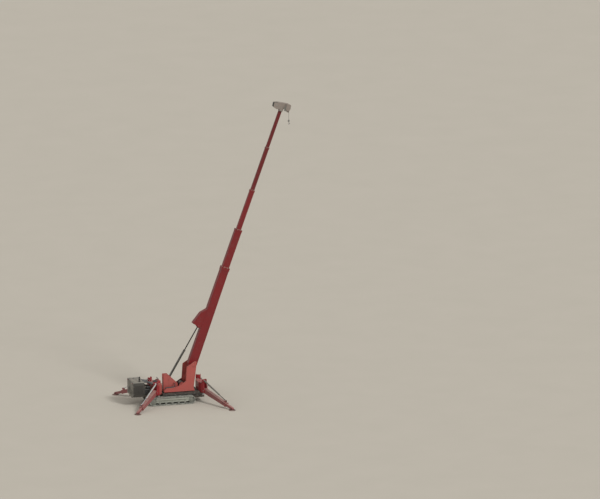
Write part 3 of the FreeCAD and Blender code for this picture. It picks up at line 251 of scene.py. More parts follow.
ROD_CHROME = bare_metal("rod_chrome", (0.66, 0.66, 0.67), 0.2, (1.0, 1.0, 1.0), 0.05)
# Chrome rods painted almost black, standing in for the dark surroundings they reflect: a painted reflection.
ROD_DARK_REFLECTION = bare_metal("rod_dark", (0.05, 0.046, 0.04), 0.42)
PIN_STEEL = bare_metal("pin_steel", (0.42, 0.41, 0.4), 0.36)
BOLT_ZINC = bare_metal("bolt_zinc", (0.5, 0.48, 0.42), 0.38, stained=0.35)
HOOK_STEEL = bare_metal("hook_steel", (0.24, 0.235, 0.225), 0.42, stained=0.45)
ROLLER_IRON = cast_iron("roller_iron", (0.10, 0.098, 0.09))
ENGINE_IRON = cast_iron("engine_iron", (0.055, 0.056, 0.055))
RUBBER = track_rubber()
DECK_PAINT = deck_plate()
PAD_NYLON = nylon("pad_nylon", (0.5, 0.47, 0.38))
KNOB_BLACK = nylon("knob_black", (0.025, 0.025, 0.026))
HOSE_BLACK = nylon("hose_black", (0.03, 0.03, 0.03))
SHEAVE_GREY = nylon("sheave_grey", (0.16, 0.155, 0.135))
TRACK_FRAME_GREY = painted("track_frame_grey", (0.24, 0.25, 0.21), (0.33, 0.34, 0.29), dusty=0.5, gloss=0.5)
ROLLER_GREY = cast_iron("roller_grey", (0.16, 0.165, 0.14))
CYLINDER_DARK = painted("cylinder_dark", (0.040, 0.038, 0.030), (0.060, 0.056, 0.046), dusty=0.25, gloss=0.40)
HEAD_DARK = painted("head_dark", (0.035, 0.036, 0.03), (0.06, 0.06, 0.05), dusty=0.3, gloss=0.5)
HOOK_WEIGHT = painted("hook_weight", (0.12, 0.12, 0.105), (0.18, 0.175, 0.155), dusty=0.3, gloss=0.42, worn=0.55)
FOOT_DARK = painted("foot_dark", (0.075, 0.02, 0.02), (0.12, 0.045, 0.04), dusty=0.5, gloss=0.5)
ROPE = rope_strands()
# The winch's paint is darkened to a near-black red, standing in for the shade between the turret's cheeks: painted
# shade.
WINCH_SHADED = painted("winch_dark", (0.05, 0.022, 0.02), (0.07, 0.036, 0.032), dusty=0.3, gloss=0.45)
LAMP_RED = lamp_lens("lamp_red", (0.35, 0.01, 0.01))
LAMP_CLEAR = lamp_lens("lamp_clear", (0.6, 0.6, 0.58))


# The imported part's own pieces take these finishes

FINISH_OF = {
    "chassis_frame": FRAME_GREY, "deck": DECK_PAINT, "pedestal_left": TURRET_RED, "pedestal_right": LEG_RED,
    "track_frames": ROLLER_IRON, "power_pack_housing": PACK_GREY, "engine_block": ENGINE_IRON,
    "hydraulic_tank": FRAME_GREY, "exhaust_pipe": EXHAUST_BLACK, "control_valves": FRAME_GREY,
    "turret_frame": TURRET_RED, "winch_motor": WINCH_SHADED, "winch_drum": WINCH_SHADED, "boom_base": BOOM_RED,
    "luff_hood": BOOM_RED, "boom_head": HEAD_BEIGE, "fall_sheave": SHEAVE_GREY, "guide_sheave": SHEAVE_GREY,
    "hook_block": HOOK_STEEL, "hook": HOOK_STEEL, "luff_barrel": CYLINDER_DARK, "luff_rod": ROD_DARK_REFLECTION,
}
for number in (2, 3, 4, 5):
    FINISH_OF["boom_section_%d" % number] = BOOM_DARK if number > 3 else BOOM_RED
for end in ("left", "right"):
    for side, sign in SIDES:
        leg = "outrigger_%s_%s_" % (side, end)
        FINISH_OF[leg + "bracket"] = LEG_RED
        FINISH_OF[leg + "leg"] = LEG_DULL
        FINISH_OF[leg + "foot"] = LEG_DULL
        # The four jacks are the same parts: the left ones take the lit grey barrel and bright chrome, the right ones
        # the shaded dark barrel and the dark rod, so their light and shade is painted.
        FINISH_OF[leg + "cylinder"] = JACK_LIT_GREY if end == "left" else JACK_SHADED_DARK
        FINISH_OF[leg + "rod"] = ROD_CHROME if end == "left" else ROD_DARK_REFLECTION


def dress(node, finish):
    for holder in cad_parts[node].material_slots:
        holder.material = finish


for node, finish in FINISH_OF.items():
    dress(node, finish)


# Shells: meshes that are put together from simple solids in the axes of a place

SHARP_ANGLE, BEVEL_ANGLE = math.radians(38), math.radians(40)


def angles(sides):
    return [2 * math.pi * step / sides for step in range(sides)]


def course(spots, index):
    """The direction of a line of spots at one of them."""
    return (spots[min(len(spots) - 1, index + 1)] - spots[max(0, index - 1)]).normalized()


def raised(height):
    return Vector((0, 0, height))


def rectangle(left, right, low, high):
    """An outline in the XZ plane."""
    return [(left, low), (right, low), (right, high), (left, high)]

class Shell:
    """A mesh under way. What is added lies in the axes of its present place."""

    def __init__(self, place=None):
        self.mesh = bmesh.new()
        self.place = place or Matrix.Identity(4)

    def put(self, corners):
        """Bring new corners from the present place's axes to the shell's."""
        bmesh.ops.transform(self.mesh, matrix=self.place, verts=corners)

    def join(self, rings, closed=False):
        """Faces from ring to ring. If closed, the last ring joins the first, else both ends are capped."""
        for first, second in zip(rings, rings[1:] + rings[:1] if closed else rings[1:]):
            for step in range(len(first)):
                after = (step + 1) % len(first)
                self.mesh.faces.new((first[step], first[after], second[after], second[step]))
        if not closed:
            self.mesh.faces.new(list(reversed(rings[0])))
            self.mesh.faces.new(rings[-1])
        self.put([corner for ring in rings for corner in ring])

    def block(self, start, end, bevel=0.0):
        """A block between two opposite corners, which may be in either order along each axis."""
        low, high = Vector(list(map(min, start, end))), Vector(list(map(max, start, end)))
        spread = Matrix.Translation((low + high) / 2) @ Matrix.Diagonal((*(high - low), 1.0))
        corners = bmesh.ops.create_cube(self.mesh, size=1.0, matrix=spread)["verts"]
        if bevel:
            edges = list(dict.fromkeys(edge for corner in corners for edge in corner.link_edges))
            made = bmesh.ops.bevel(self.mesh, geom=edges, offset=bevel, segments=2, affect="EDGES", profile=0.6)
            corners = made["verts"]
        self.put(corners)

    def turned(self, profile, start, end, sides=24, hollow=False):
        """A turned solid. Its profile is (share of the way, radius), and a hollow one's closes on itself."""
        start, end = Vector(start), Vector(end)
        axis = end - start
        turn = axis.to_track_quat("Z", "Y").to_matrix().to_4x4()
        rings = []
        for share, radius in profile:
            centre = start + axis * share
            around = [turn @ Vector((radius * math.cos(angle), radius * math.sin(angle), 0)) for angle in angles(sides)]
            rings.append([self.mesh.verts.new(centre + offset) for offset in around])
        self.join(rings, hollow)

    def rod(self, start, end, radius, sides=20, chamfer=0.0):
        profile = ((0, radius), (1, radius))
        if chamfer:
            share = min(0.45, chamfer / (Vector(end) - Vector(start)).length)
            profile = ((0, radius - chamfer), (share, radius), (1 - share, radius), (1, radius - chamfer))
        self.turned(profile, start, end, sides)

    def pipe(self, points, radius, sides=10):
        """A tube along a smooth line through points."""
        spots = smooth_line([Vector(point) for point in points])
        rings, reference = [], course(spots, 0).orthogonal().normalized()
        for index, spot in enumerate(spots):
            ahead = course(spots, index)
            reference = (reference - ahead * reference.dot(ahead)).normalized()
            side = ahead.cross(reference)
            around = [reference * math.cos(angle) + side * math.sin(angle) for angle in angles(sides)]
            rings.append([self.mesh.verts.new(spot + offset * radius) for offset in around])
        self.join(rings)

    def plate(self, outline, start, end):
        """An outline in the XZ plane, drawn along Y between two limits in either order."""
        low, high = sorted((start, end))
        ring = [self.mesh.verts.new((x, low, z)) for x, z in outline]
        face = self.mesh.faces.new(ring)
        made = bmesh.ops.extrude_face_region(self.mesh, geom=[face])
        moved = [item for item in made["geom"] if isinstance(item, bmesh.types.BMVert)]
        bmesh.ops.translate(self.mesh, verts=moved, vec=(0, high - low, 0))
        self.put(ring + moved)

    def take(self, mesh, place=None):
        """Add a finished mesh, in this place's axes, and delete it."""
        mesh.transform(self.place @ (place or Matrix.Identity(4)))
        self.mesh.from_mesh(mesh)
        bpy.data.meshes.remove(mesh)

    def close(self, name, body, slot, finish, replaces=(), bevel=0.0):
        """Make the piece, hang it on its body and hide the imported parts it replaces."""
        bmesh.ops.recalc_face_normals(self.mesh, faces=self.mesh.faces)
        data = bpy.data.meshes.new(name)
        self.mesh.to_mesh(data)
        self.mesh.free()
        data.materials.clear()
        data.materials.append(finish)
        for face in data.polygons:
            face.material_index = 0
        piece = bpy.data.objects.new(name, data)
        bpy.context.scene.collection.objects.link(piece)
        data.set_sharp_from_angle(angle=SHARP_ANGLE)
        for face in data.polygons:
            face.use_smooth = True
        if bevel:
            rounded = piece.modifiers.new("Edges", "BEVEL")
            rounded.width = bevel
            rounded.segments = 2
            rounded.limit_method = "ANGLE"
            rounded.angle_limit = BEVEL_ANGLE
        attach(piece, body)
        if replaces:
            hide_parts(*replaces)


def smooth_line(points, steps=5):
    """A smooth line through points."""
    if len(points) < 3:
        return points
    ends = [points[0] * 2 - points[1], *points, points[-1] * 2 - points[-2]]
    line = []
    for first, start, stop, last in zip(ends, ends[1:], ends[2:], ends[3:]):
        for step in range(steps):
            share = step / steps
            line.append(0.5 * (2 * start + (stop - first) * share
                               + (2 * first - 5 * start + 4 * stop - last) * share ** 2
                               + (3 * start - first - 3 * stop + last) * share ** 3))
    line.append(points[-1])
    return line


# Repeated pieces made by Geometry Nodes

class Pattern(Net):
    """A Geometry Nodes tree with named sizes."""

    def __init__(self, name, sizes):
        tree = bpy.data.node_groups.new(name, "GeometryNodeTree")
        super().__init__(tree)
        tree.interface.new_socket(name="Geometry", in_out="INPUT", socket_type="NodeSocketGeometry")
        tree.interface.new_socket(name="Geometry", in_out="OUTPUT", socket_type="NodeSocketGeometry")
        self.keys = {}
        for label, kind, value in (*sizes, ("Finish", "Material", None)):
            socket = tree.interface.new_socket(name=label, in_out="INPUT", socket_type="NodeSocket" + kind)
            if value is not None:
                socket.default_value = value
            self.keys[label] = socket.identifier
        self.entry = tree.nodes.new("NodeGroupInput")
        self.exit = tree.nodes.new("NodeGroupOutput")

    def size(self, label):
        return Flow(self, self.entry.outputs[label])

    def vector(self, **parts):
        return self.node("ShaderNodeCombineXYZ", values=parts)

    def cube(self, x, y, z):
        return self.node("GeometryNodeMeshCube", values={"Size": self.vector(X=x, Y=y, Z=z)})

    def moved(self, shape, **ways):
        return self.node("GeometryNodeTransform", values={"Geometry": shape, **ways})

    def joined(self, *shapes):
        made = self.node("GeometryNodeJoinGeometry")
        for shape in shapes:
            self.tree.links.new(shape.socket, made.socket.node.inputs[0])
        return made

    def circle(self):
        return self.node("GeometryNodeMeshCircle",
                         values={"Vertices": self.size("Count"), "Radius": self.size("Ring Radius")})

    def line(self, axis):
        step = self.vector(**{axis: self.size("Pitch")})
        return self.node("GeometryNodeMeshLine", values={"Count": self.size("Count"), "Offset": step})

    def end(self, shape, points=None, **turned):
        """Close the tree with its shape, or with a copy of it at each of the points."""
        if points:
            shape = self.node("GeometryNodeInstanceOnPoints", values={"Points": points, "Instance": shape, **turned})
        real = self.node("GeometryNodeRealizeInstances", values={"Geometry": shape})
        done = self.node("GeometryNodeSetMaterial", values={"Geometry": real, "Material": self.size("Finish")})
        self.tree.links.new(done.socket, self.exit.inputs["Geometry"])
        return self

    def make(self, path=None, **sizes):
        """The plain mesh that the tree gives for these sizes."""
        carrier = bpy.data.objects.new("carrier", path or bpy.data.meshes.new("carrier"))
        bpy.context.scene.collection.objects.link(carrier)
        modifier = carrier.modifiers.new("Pattern", "NODES")
        modifier.node_group = self.tree
        for label, value in sizes.items():
            modifier[self.keys[label.replace("_", " ")]] = value
        bpy.context.view_layer.update()
        graph = bpy.context.evaluated_depsgraph_get()
        mesh = bpy.data.meshes.new_from_object(carrier.evaluated_get(graph), depsgraph=graph)
        carrier.modifiers.clear()
        bpy.data.objects.remove(carrier)
        return mesh


def bolt_shape(net):
    """A hexagon head on a round washer, standing along Z."""
    radius, height = net.size("Bolt Radius"), net.size("Bolt Height")
    head = net.node("GeometryNodeMeshCylinder", values={"Vertices": 6, "Radius": radius, "Depth": height})
    head = net.moved(head, Translation=net.vector(Z=height * 0.75))
    washer = net.node("GeometryNodeMeshCylinder",
                      values={"Vertices": 14, "Radius": radius * 1.35, "Depth": height * 0.5})
    return net.joined(washer, head)


BOLT_SIZES = (("Count", "Int", 8), ("Bolt Radius", "Float", 0.01), ("Bolt Height", "Float", 0.01))


def ring_of_bolts():
    net = Pattern("ring_of_bolts", (*BOLT_SIZES, ("Ring Radius", "Float", 0.1)))
    return net.end(bolt_shape(net), net.circle())


def row_of_bolts():
    net = Pattern("row_of_bolts", (*BOLT_SIZES, ("Pitch", "Float", 0.05)))
    return net.end(bolt_shape(net), net.line("X"))


def row_of_slats():
    """Slanted slats one above another along Z, each along X."""
    net = Pattern("row_of_slats", (("Count", "Int", 8), ("Pitch", "Float", 0.05), ("Length", "Float", 0.5),
                                   ("Depth", "Float", 0.02), ("Thickness", "Float", 0.003), ("Slant", "Float", 0.6)))
    slat = net.cube(net.size("Length"), net.size("Depth"), net.size("Thickness"))
    return net.end(net.moved(slat, Rotation=net.vector(X=net.size("Slant"))), net.line("Z"))


def ring_of_teeth():
    """Blocks round a wheel about Z, each pointing outwards."""
    net = Pattern("ring_of_teeth", (("Count", "Int", 12), ("Ring Radius", "Float", 0.1), ("Reach", "Float", 0.02),
                                    ("Breadth", "Float", 0.02), ("Width", "Float", 0.04)))
    tooth = net.cube(net.size("Breadth"), net.size("Reach"), net.size("Width"))
    place = net.node("GeometryNodeInputPosition")
    turn = net.node("FunctionNodeAlignRotationToVector", {"axis": "Y"}, {"Vector": place})
    return net.end(tooth, net.circle(), Rotation=turn)


def row_of_coils():
    """Rope wound on a drum along Z, as one spiral of round section."""
    net = Pattern("row_of_coils", (("Turns", "Float", 10.0), ("Coil Radius", "Float", 0.1), ("Length", "Float", 0.3),
                                   ("Rope Radius", "Float", 0.008)))
    spiral = net.node("GeometryNodeCurveSpiral", values={
        "Resolution": 22, "Rotations": net.size("Turns"), "Start Radius": net.size("Coil Radius"),
        "End Radius": net.size("Coil Radius"), "Height": net.size("Length")})
    section = net.node("GeometryNodeCurvePrimitiveCircle", values={"Resolution": 7, "Radius": net.size("Rope Radius")})
    rope = net.node("GeometryNodeCurveToMesh", values={"Curve": spiral, "Profile Curve": section, "Fill Caps": True})
    return net.end(rope)


def loop_of_shoes():
    """Track shoes along a closed path: a bar with two staggered lugs on each."""
    net = Pattern("loop_of_shoes", (("Count", "Int", 50), ("Shoe Width", "Float", 0.36), ("Shoe Length", "Float", 0.07),
                                    ("Shoe Height", "Float", 0.02), ("Lug Length", "Float", 0.03)))
    width, length, height = net.size("Shoe Width"), net.size("Shoe Length"), net.size("Shoe Height")
    path = net.node("GeometryNodeMeshToCurve", values={"Mesh": net.size("Geometry")})
    path = net.node("GeometryNodeResampleCurve", values={"Curve": path, "Count": net.size("Count")})
    lugs = []
    for side in (-1, 1):
        lug = net.cube(net.size("Lug Length"), width * 0.47, height)
        spot = net.vector(X=length * 0.2 * side, Y=width * 0.262 * side, Z=height * 0.45)
        lugs.append(net.moved(lug, Translation=spot, Rotation=(0.0, 0.0, 0.16 * side)))
    shoe = net.joined(*lugs, net.cube(length, width * 0.985, height * 0.4))
    ahead = net.node("GeometryNodeInputTangent")
    turn = net.node("FunctionNodeAlignRotationToVector", {"axis": "X"}, {"Vector": ahead})
    across = net.node("ShaderNodeVectorMath", {"operation": "CROSS_PRODUCT"}, {0: (0.0, -1.0, 0.0), 1: ahead})
    turn = net.node("FunctionNodeAlignRotationToVector", {"axis": "Z", "pivot_axis": "X"},
                    {"Rotation": turn, "Vector": across})
    return net.end(shoe, path, Rotation=turn)


BOLT_RING = ring_of_bolts()
BOLT_ROW = row_of_bolts()
SLATS = row_of_slats()
TEETH = ring_of_teeth()
COILS = row_of_coils()
SHOES = loop_of_shoes()


def facing(spot, direction, along=None):
    """A place at a spot whose Z looks in a direction, and whose X runs along another where given."""
    up = Vector(direction).normalized()
    side = Vector(along) if along else up.orthogonal()
    side = (side - up * side.dot(up)).normalized()
    turn = Matrix((side, up.cross(side), up)).transposed().to_4x4()
    return Matrix.Translation(Vector(spot)) @ turn
def squared(place, spot, direction, along=None):
    """A place at a spot in a tilted shell's axes, which looks in a direction given in the world's."""
    return place.inverted() @ facing(place @ Vector(spot), direction, along)

def bolts_round(shell, spot, direction, ring, count, size):
    mesh = BOLT_RING.make(Count=count, Ring_Radius=ring, Bolt_Radius=size, Bolt_Height=size, Finish=BOLT_ZINC)
    shell.take(mesh, facing(spot, direction))


def bolts_along(shell, spot, direction, along, count, pitch, size):
    mesh = BOLT_ROW.make(Count=count, Pitch=pitch, Bolt_Radius=size, Bolt_Height=size, Finish=BOLT_ZINC)
    shell.take(mesh, facing(spot, direction, along))


# Places of the machine's parts

def axes_at(spot, ahead, up=(0, 0, 1)):
    """A place at a spot whose X looks ahead, and whose Z is as near to up as that allows."""
    ahead = Vector(ahead).normalized()
    up = Vector(up)
    up = (up - ahead * up.dot(ahead)).normalized()
    turn = Matrix((ahead, up.cross(ahead), up)).transposed().to_4x4()
    return Matrix.Translation(Vector(spot)) @ turn


def level(angle):
    """The direction at an angle above +X, in the XZ plane."""
    return Vector((math.cos(angle), 0, math.sin(angle)))


BOOM_RISE, LUFF_RISE = math.radians(70), math.radians(59.434)
BOOM_FOOT, LUFF_FOOT, WINCH = Vector((0.85, 0, 2.22)), Vector((-0.553, 0, 1.40)), Vector((0.22, 0, 1.085))
BOOM = axes_at(BOOM_FOOT, level(BOOM_RISE), level(BOOM_RISE + math.pi / 2))
LUFF = axes_at(LUFF_FOOT, level(LUFF_RISE), level(LUFF_RISE + math.pi / 2))

# end, kingpin along X and across Y, azimuth, heights of the root and the cylinder's pin, reach, tops of the
# pedestal and the bracket, distance of the pedestal's outer wall, half width of the bracket's back
LEG_TABLE = (
    ("right", 1.376, 0.489, 65.5, 0.720, 1.290, 2.481, 1.145, 1.380, 0.32, 0.142),
    ("left", -1.373, 0.523, 132.0, 0.800, 1.290, 2.330, 1.225, 1.400, 0.34, 0.100),
)
ROOT_OUT, JACK_PIN_OUT, ANKLE_HIGH = 0.250, 0.190, 0.100
BRACKET_SIDE, LEG_SIDE, EYE_SHARE, EYE_RISE, SLEEVE_SHARE, BARREL_SHARE = 0.1355, 0.109, 0.75, 0.2, 0.80, 0.68


class Outrigger:
    """One outrigger: the places of its swing bracket, leg and cylinder."""

    def __init__(self, row, side, sign):
        (end, x, y, azimuth, self.root_high, self.jack_high, self.reach, self.pedestal_high, self.bracket_high,
         self.wall, self.back_half) = row
        self.key = "outrigger_%s_%s_" % (side, end)
        angle = math.radians(sign * azimuth)
        out = Vector((math.cos(angle), math.sin(angle), 0))
        self.kingpin = Vector((x, sign * y, 0))
        self.swing = axes_at(self.kingpin, out)
        drop = self.root_high - ANKLE_HIGH
        self.length = math.hypot(self.reach, drop)
        slope = math.atan2(drop, self.reach)
        self.leg = self.swing @ axes_at((ROOT_OUT, 0, self.root_high), (math.cos(slope), 0, -math.sin(slope)))
        along = EYE_SHARE * self.length
        eye = Vector((ROOT_OUT + along * math.cos(slope) + EYE_RISE * math.sin(slope), 0,
                      self.root_high - along * math.sin(slope) + EYE_RISE * math.cos(slope)))
        pin = Vector((JACK_PIN_OUT, 0, self.jack_high))
        self.jack_length = (eye - pin).length
        self.jack = self.swing @ axes_at(pin, eye - pin)


OUTRIGGERS = [Outrigger(row, side, sign) for row in LEG_TABLE for side, sign in SIDES]


# Tracks: a belt and its shoes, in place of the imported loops

TRACK_MIDDLE, TRACK_LENGTH, TRACK_HEIGHT, TRACK_WIDTH = -0.53, 2.8, 0.5, 0.36
TRACK_SIDE, SHOE_COUNT, SHOE_LENGTH, SHOE_HEIGHT, LUG_LENGTH, BELT = 1.365 / 2, 56, 0.078, 0.024, 0.036, 0.040
SHOE_SINK = SHOE_HEIGHT * 1.18
WHEEL_REACH = (TRACK_LENGTH - TRACK_HEIGHT) / 2


def stadium(radius, steps):
    """A closed outline round the track's two end wheels."""
    points = []
    for centre, start in ((WHEEL_REACH, math.pi / 2), (-WHEEL_REACH, -math.pi / 2)):
        for step in range(steps + 1):
            angle = start - math.pi * step / steps
            points.append((TRACK_MIDDLE + centre + radius * math.cos(angle),
                           TRACK_HEIGHT / 2 + radius * math.sin(angle)))
    return points


def belt_path(radius, side):
    mesh = bpy.data.meshes.new("belt_path")
    points = stadium(radius, 48)
    count = len(points)
    mesh.from_pydata([(x, side, z) for x, z in points], [(i, (i + 1) % count) for i in range(count)], [])
    return mesh


def make_track(name, side):
    shell = Shell()
    outer = stadium(TRACK_HEIGHT / 2 - SHOE_HEIGHT, 14)
    inner = stadium(TRACK_HEIGHT / 2 - SHOE_HEIGHT - BELT, 14)
    rings = []
    for outline, y in ((outer, -1), (outer, 1), (inner, 1), (inner, -1)):
        rings.append([shell.mesh.verts.new((x, side + y * TRACK_WIDTH / 2, z)) for x, z in outline])
    shell.join(rings, closed=True)
    path = belt_path(TRACK_HEIGHT / 2 - SHOE_SINK, side)
    shell.take(SHOES.make(path, Count=SHOE_COUNT, Shoe_Width=TRACK_WIDTH, Shoe_Length=SHOE_LENGTH,
                          Shoe_Height=SHOE_HEIGHT, Lug_Length=LUG_LENGTH, Finish=RUBBER))
    bpy.data.meshes.remove(path)
    shell.close("track_%s" % name, "chassis", "track_grey", RUBBER, ("track_loop_" + name,))


for side, sign in SIDES:
    make_track(side, sign * TRACK_SIDE)


# Under each track: a beam, a toothed drive wheel, an idler with its tensioner, and the rollers

WHEEL_RADIUS, WHEEL_WIDTH, WHEEL_HIGH = 0.184, 0.290, 0.250
ROAD_ROLLERS, TOP_ROLLERS, ROLLER_PITCH, ROAD_HIGH, TOP_HIGH = (-2, -1, 0, 1, 2), (-1, 1), 0.385, 0.140, 0.392
BEAM_HALF, BEAM_LOW, BEAM_HIGH = 0.118, 0.177, 0.333


def roller_profile(radius):
    """A double-flanged roller over its width."""
    half = ((0, 0.55), (0.03, 1), (0.13, 1), (0.17, 0.8), (0.42, 0.8), (0.46, 1))
    return [(share, radius * part) for share, part in (*half, *[(1 - share, part) for share, part in reversed(half)])]


def make_undercarriage(name, side, sign):
    half = WHEEL_WIDTH / 2
    beam = Shell()
    left, right = TRACK_MIDDLE - WHEEL_REACH, TRACK_MIDDLE + WHEEL_REACH
    beam.block((left + 0.21, side - 0.11, 0.175), (right - 0.21, side + 0.11, 0.335), 0.012)
    beam.block((left + 0.19, side - BEAM_HALF, 0.163), (right - 0.19, side + BEAM_HALF, BEAM_LOW))
    beam.plate([(left + 0.19, 0.334), (right - 0.19, 0.334), (right - 0.27, 0.352), (left + 0.27, 0.352)],
               side - 0.125, side + 0.125)
    for rail in (-1, 1):
        y = side + rail * BEAM_HALF
        for end, inward in ((left, 1), (right, -1)):
            beam.plate([(end + inward * x, z) for x, z in ((-0.03, 0.2), (0.3, 0.17), (0.34, 0.19), (0.34, 0.31),
                                                           (0.3, 0.33), (-0.03, 0.3))], y - 0.006, y + 0.006)
        for step in (-0.75, -0.45, -0.15, 0.15, 0.45, 0.75):
            x = TRACK_MIDDLE + step
            beam.plate(rectangle(x - 0.012, x + 0.012, BEAM_LOW, BEAM_HIGH), y, y - rail * 0.02)
    beam.plate([(left + 0.16, 0.318), (right - 0.16, 0.318), (right - 0.10, 0.360), (right - 0.16, 0.412),
                (left + 0.16, 0.412), (left + 0.10, 0.360)], side + sign * 0.152, side + sign * 0.164)
    for step in (-0.9, -0.45, 0.0, 0.45, 0.9):
        x = TRACK_MIDDLE + step
        beam.block((x - 0.03, side + sign * 0.11, 0.320), (x + 0.03, side + sign * 0.154, 0.345))
    beam.close("track_beam_" + name, "chassis", "track_grey", TRACK_FRAME_GREY, ("track_frames",), bevel=0.003)

    wheels = Shell()
    out = Vector((0, sign, 0))
    for x, radius in ((left, WHEEL_RADIUS), (right, WHEEL_RADIUS - 0.022)):
        spot = Vector((x, side, WHEEL_HIGH))
        wheels.turned(((0, radius * 0.86), (0.03, radius), (0.2, radius), (0.23, radius * 0.62), (0.77, radius * 0.62),
                       (0.8, radius), (0.97, radius), (1, radius * 0.86)),
                      spot - out * half * 0.96, spot + out * half * 0.96, 36)
        wheels.turned(((0, 0.078), (0.05, 0.078), (0.05, 0.098), (0.95, 0.098), (0.95, 0.078), (1, 0.062)),
                      spot - out * (half + 0.004), spot + out * (half + 0.012), 26)
    spot = Vector((right, side, WHEEL_HIGH))
    for rail in (-0.6, 0.6):
        mesh = TEETH.make(Count=15, Ring_Radius=WHEEL_RADIUS - 0.02, Reach=0.036, Breadth=0.03, Width=0.036,
                          Finish=ROLLER_IRON)
        wheels.take(mesh, facing(spot + out * half * rail, out))
    for steps, radius, height, sides in ((ROAD_ROLLERS, 0.074, ROAD_HIGH, 20), (TOP_ROLLERS, 0.042, TOP_HIGH, 16)):
        for step in steps:
            spot = Vector((TRACK_MIDDLE + step * ROLLER_PITCH, side, height))
            wheels.turned(roller_profile(radius), spot - out * half, spot + out * half, sides)
    wheels.close("track_wheels_" + name, "chassis", "track_grey", ROLLER_GREY, ("track_frames",))

    fittings = Shell()
    bolts_round(fittings, Vector((right, side, WHEEL_HIGH)) + out * (half - 0.004), out, 0.125, 12, 0.009)
    for x in (left, right):
        bolts_round(fittings, Vector((x, side, WHEEL_HIGH)) + out * (half + 0.008), out, 0.045, 6, 0.007)
    for step in ROAD_ROLLERS:
        x = TRACK_MIDDLE + step * ROLLER_PITCH
        fittings.rod((x, side + sign * (half - 0.01), ROAD_HIGH), (x, side + sign * (half + 0.010), ROAD_HIGH),
                     0.024, 14, 0.004)
        for rail in (-1, 1):
            fittings.block((x - 0.045, side + rail * BEAM_HALF, 0.118), (x + 0.045, side + rail * 0.128, 0.185))
    fittings.close("track_fittings_" + name, "chassis", "roller_steel", PIN_STEEL)

    spring = Shell()
    mesh = COILS.make(Turns=9.0, Coil_Radius=0.045, Length=0.26, Rope_Radius=0.008, Finish=PIN_STEEL)
    spring.take(mesh, facing((left + 0.24, side, 0.41), (1, 0, 0)))
    spring.close("track_spring_" + name, "chassis", "roller_steel", PIN_STEEL)
for side, sign in SIDES:
    make_undercarriage(side, sign * TRACK_SIDE, sign)


# Chassis frame: gussets, flanges, end pads and the pipes along it with their clamps

FRAME_SIDE, FRAME_LOW, FRAME_HIGH, DECK_SIDE, DECK_TOP = 0.30, 0.243, 0.546, 0.595, 0.655

flanges, lines, clamps = Shell(), Shell(), Shell()
for sign in (-1, 1):
    y = sign * FRAME_SIDE
    for low in (FRAME_LOW - 0.013, FRAME_HIGH):
        flanges.block((-1.55, y, low), (1.55, y + sign * 0.028, low + 0.013))
    for x in (-1.38, -0.80, -0.45, -0.18, 0.42, 0.75, 1.12, 1.42):
        flanges.plate(rectangle(x - 0.006, x + 0.006, FRAME_LOW, FRAME_HIGH), y, y + sign * 0.024)
for x in (-1.15, 0.09):
    for sign in (-1, 1):
        for edge in (-1, 1):
            flanges.place = axes_at((x + edge * 0.104, sign * FRAME_SIDE, 0.335), (0, sign, 0))
            flanges.plate([(0.0, -0.01), (0.19, -0.01), (0.0, 0.2)], -0.006, 0.006)
flanges.place = Matrix.Identity(4)
for y in (-0.12, 0.12):
    flanges.plate(rectangle(1.555, 1.559, 0.27, 0.42), y - 0.06, y + 0.06)
flanges.close("frame_flanges", "chassis", "frame_grey", FRAME_GREY, bevel=0.002)

for index in range(3):
    z = 0.36 + index * 0.045
    for sign in (-1, 1):
        lines.pipe([*[(x, sign * 0.344, z) for x in (-1.52, -1.2, -0.4, 0.4, 1.42)],
                    (1.50, sign * 0.33, z + 0.03), (1.52, sign * 0.30, z + 0.05)], 0.009, 8)
for x in (-1.30, -0.62, -0.05, 0.60, 1.22):
    for sign in (-1, 1):
        clamps.block((x - 0.018, sign * 0.324, 0.342), (x + 0.018, sign * 0.360, 0.468), 0.004)
lines.close("frame_pipes", "chassis", "rod_chrome", PIN_STEEL)
clamps.close("frame_pipe_clamps", "chassis", "frame_grey", KNOB_BLACK)


# Deck: its edge strips and lashing rings, the slew ring's teeth and two rows of bolts

edge, ring, bolted = Shell(), Shell(), Shell()
for sign in (-1, 1):
    edge.block((-1.05, sign * 0.600, 0.553), (1.19, sign * 0.620, 0.561))
    for x in (-0.85, -0.3, 0.3, 0.85):
        edge.pipe([(x + along, sign * y, 0.575) for along, y in ((-0.045, 0.612), (-0.04, 0.632), (0.0, 0.640),
                                                                 (0.04, 0.632), (0.045, 0.612))], 0.007, 8)
edge.close("deck_rings", "chassis", "frame_grey", PIN_STEEL)
ring.take(TEETH.make(Count=84, Ring_Radius=0.434, Reach=0.022, Breadth=0.014, Width=0.026, Finish=ROLLER_IRON),
          facing((0, 0, 0.6715), (0, 0, 1)))
ring.close("slew_ring_teeth", "chassis", "deck_dark", ROLLER_IRON)
for sign in (-1, 1):
    bolts_along(bolted, (-0.98, sign * DECK_SIDE, DECK_TOP), (0, 0, 1), (1, 0, 0), 15, 0.15, 0.008)
bolted.close("deck_bolts", "chassis", "deck_dark", BOLT_ZINC)


# Pedestals: kingpin caps with their bolts, and stiffening ribs

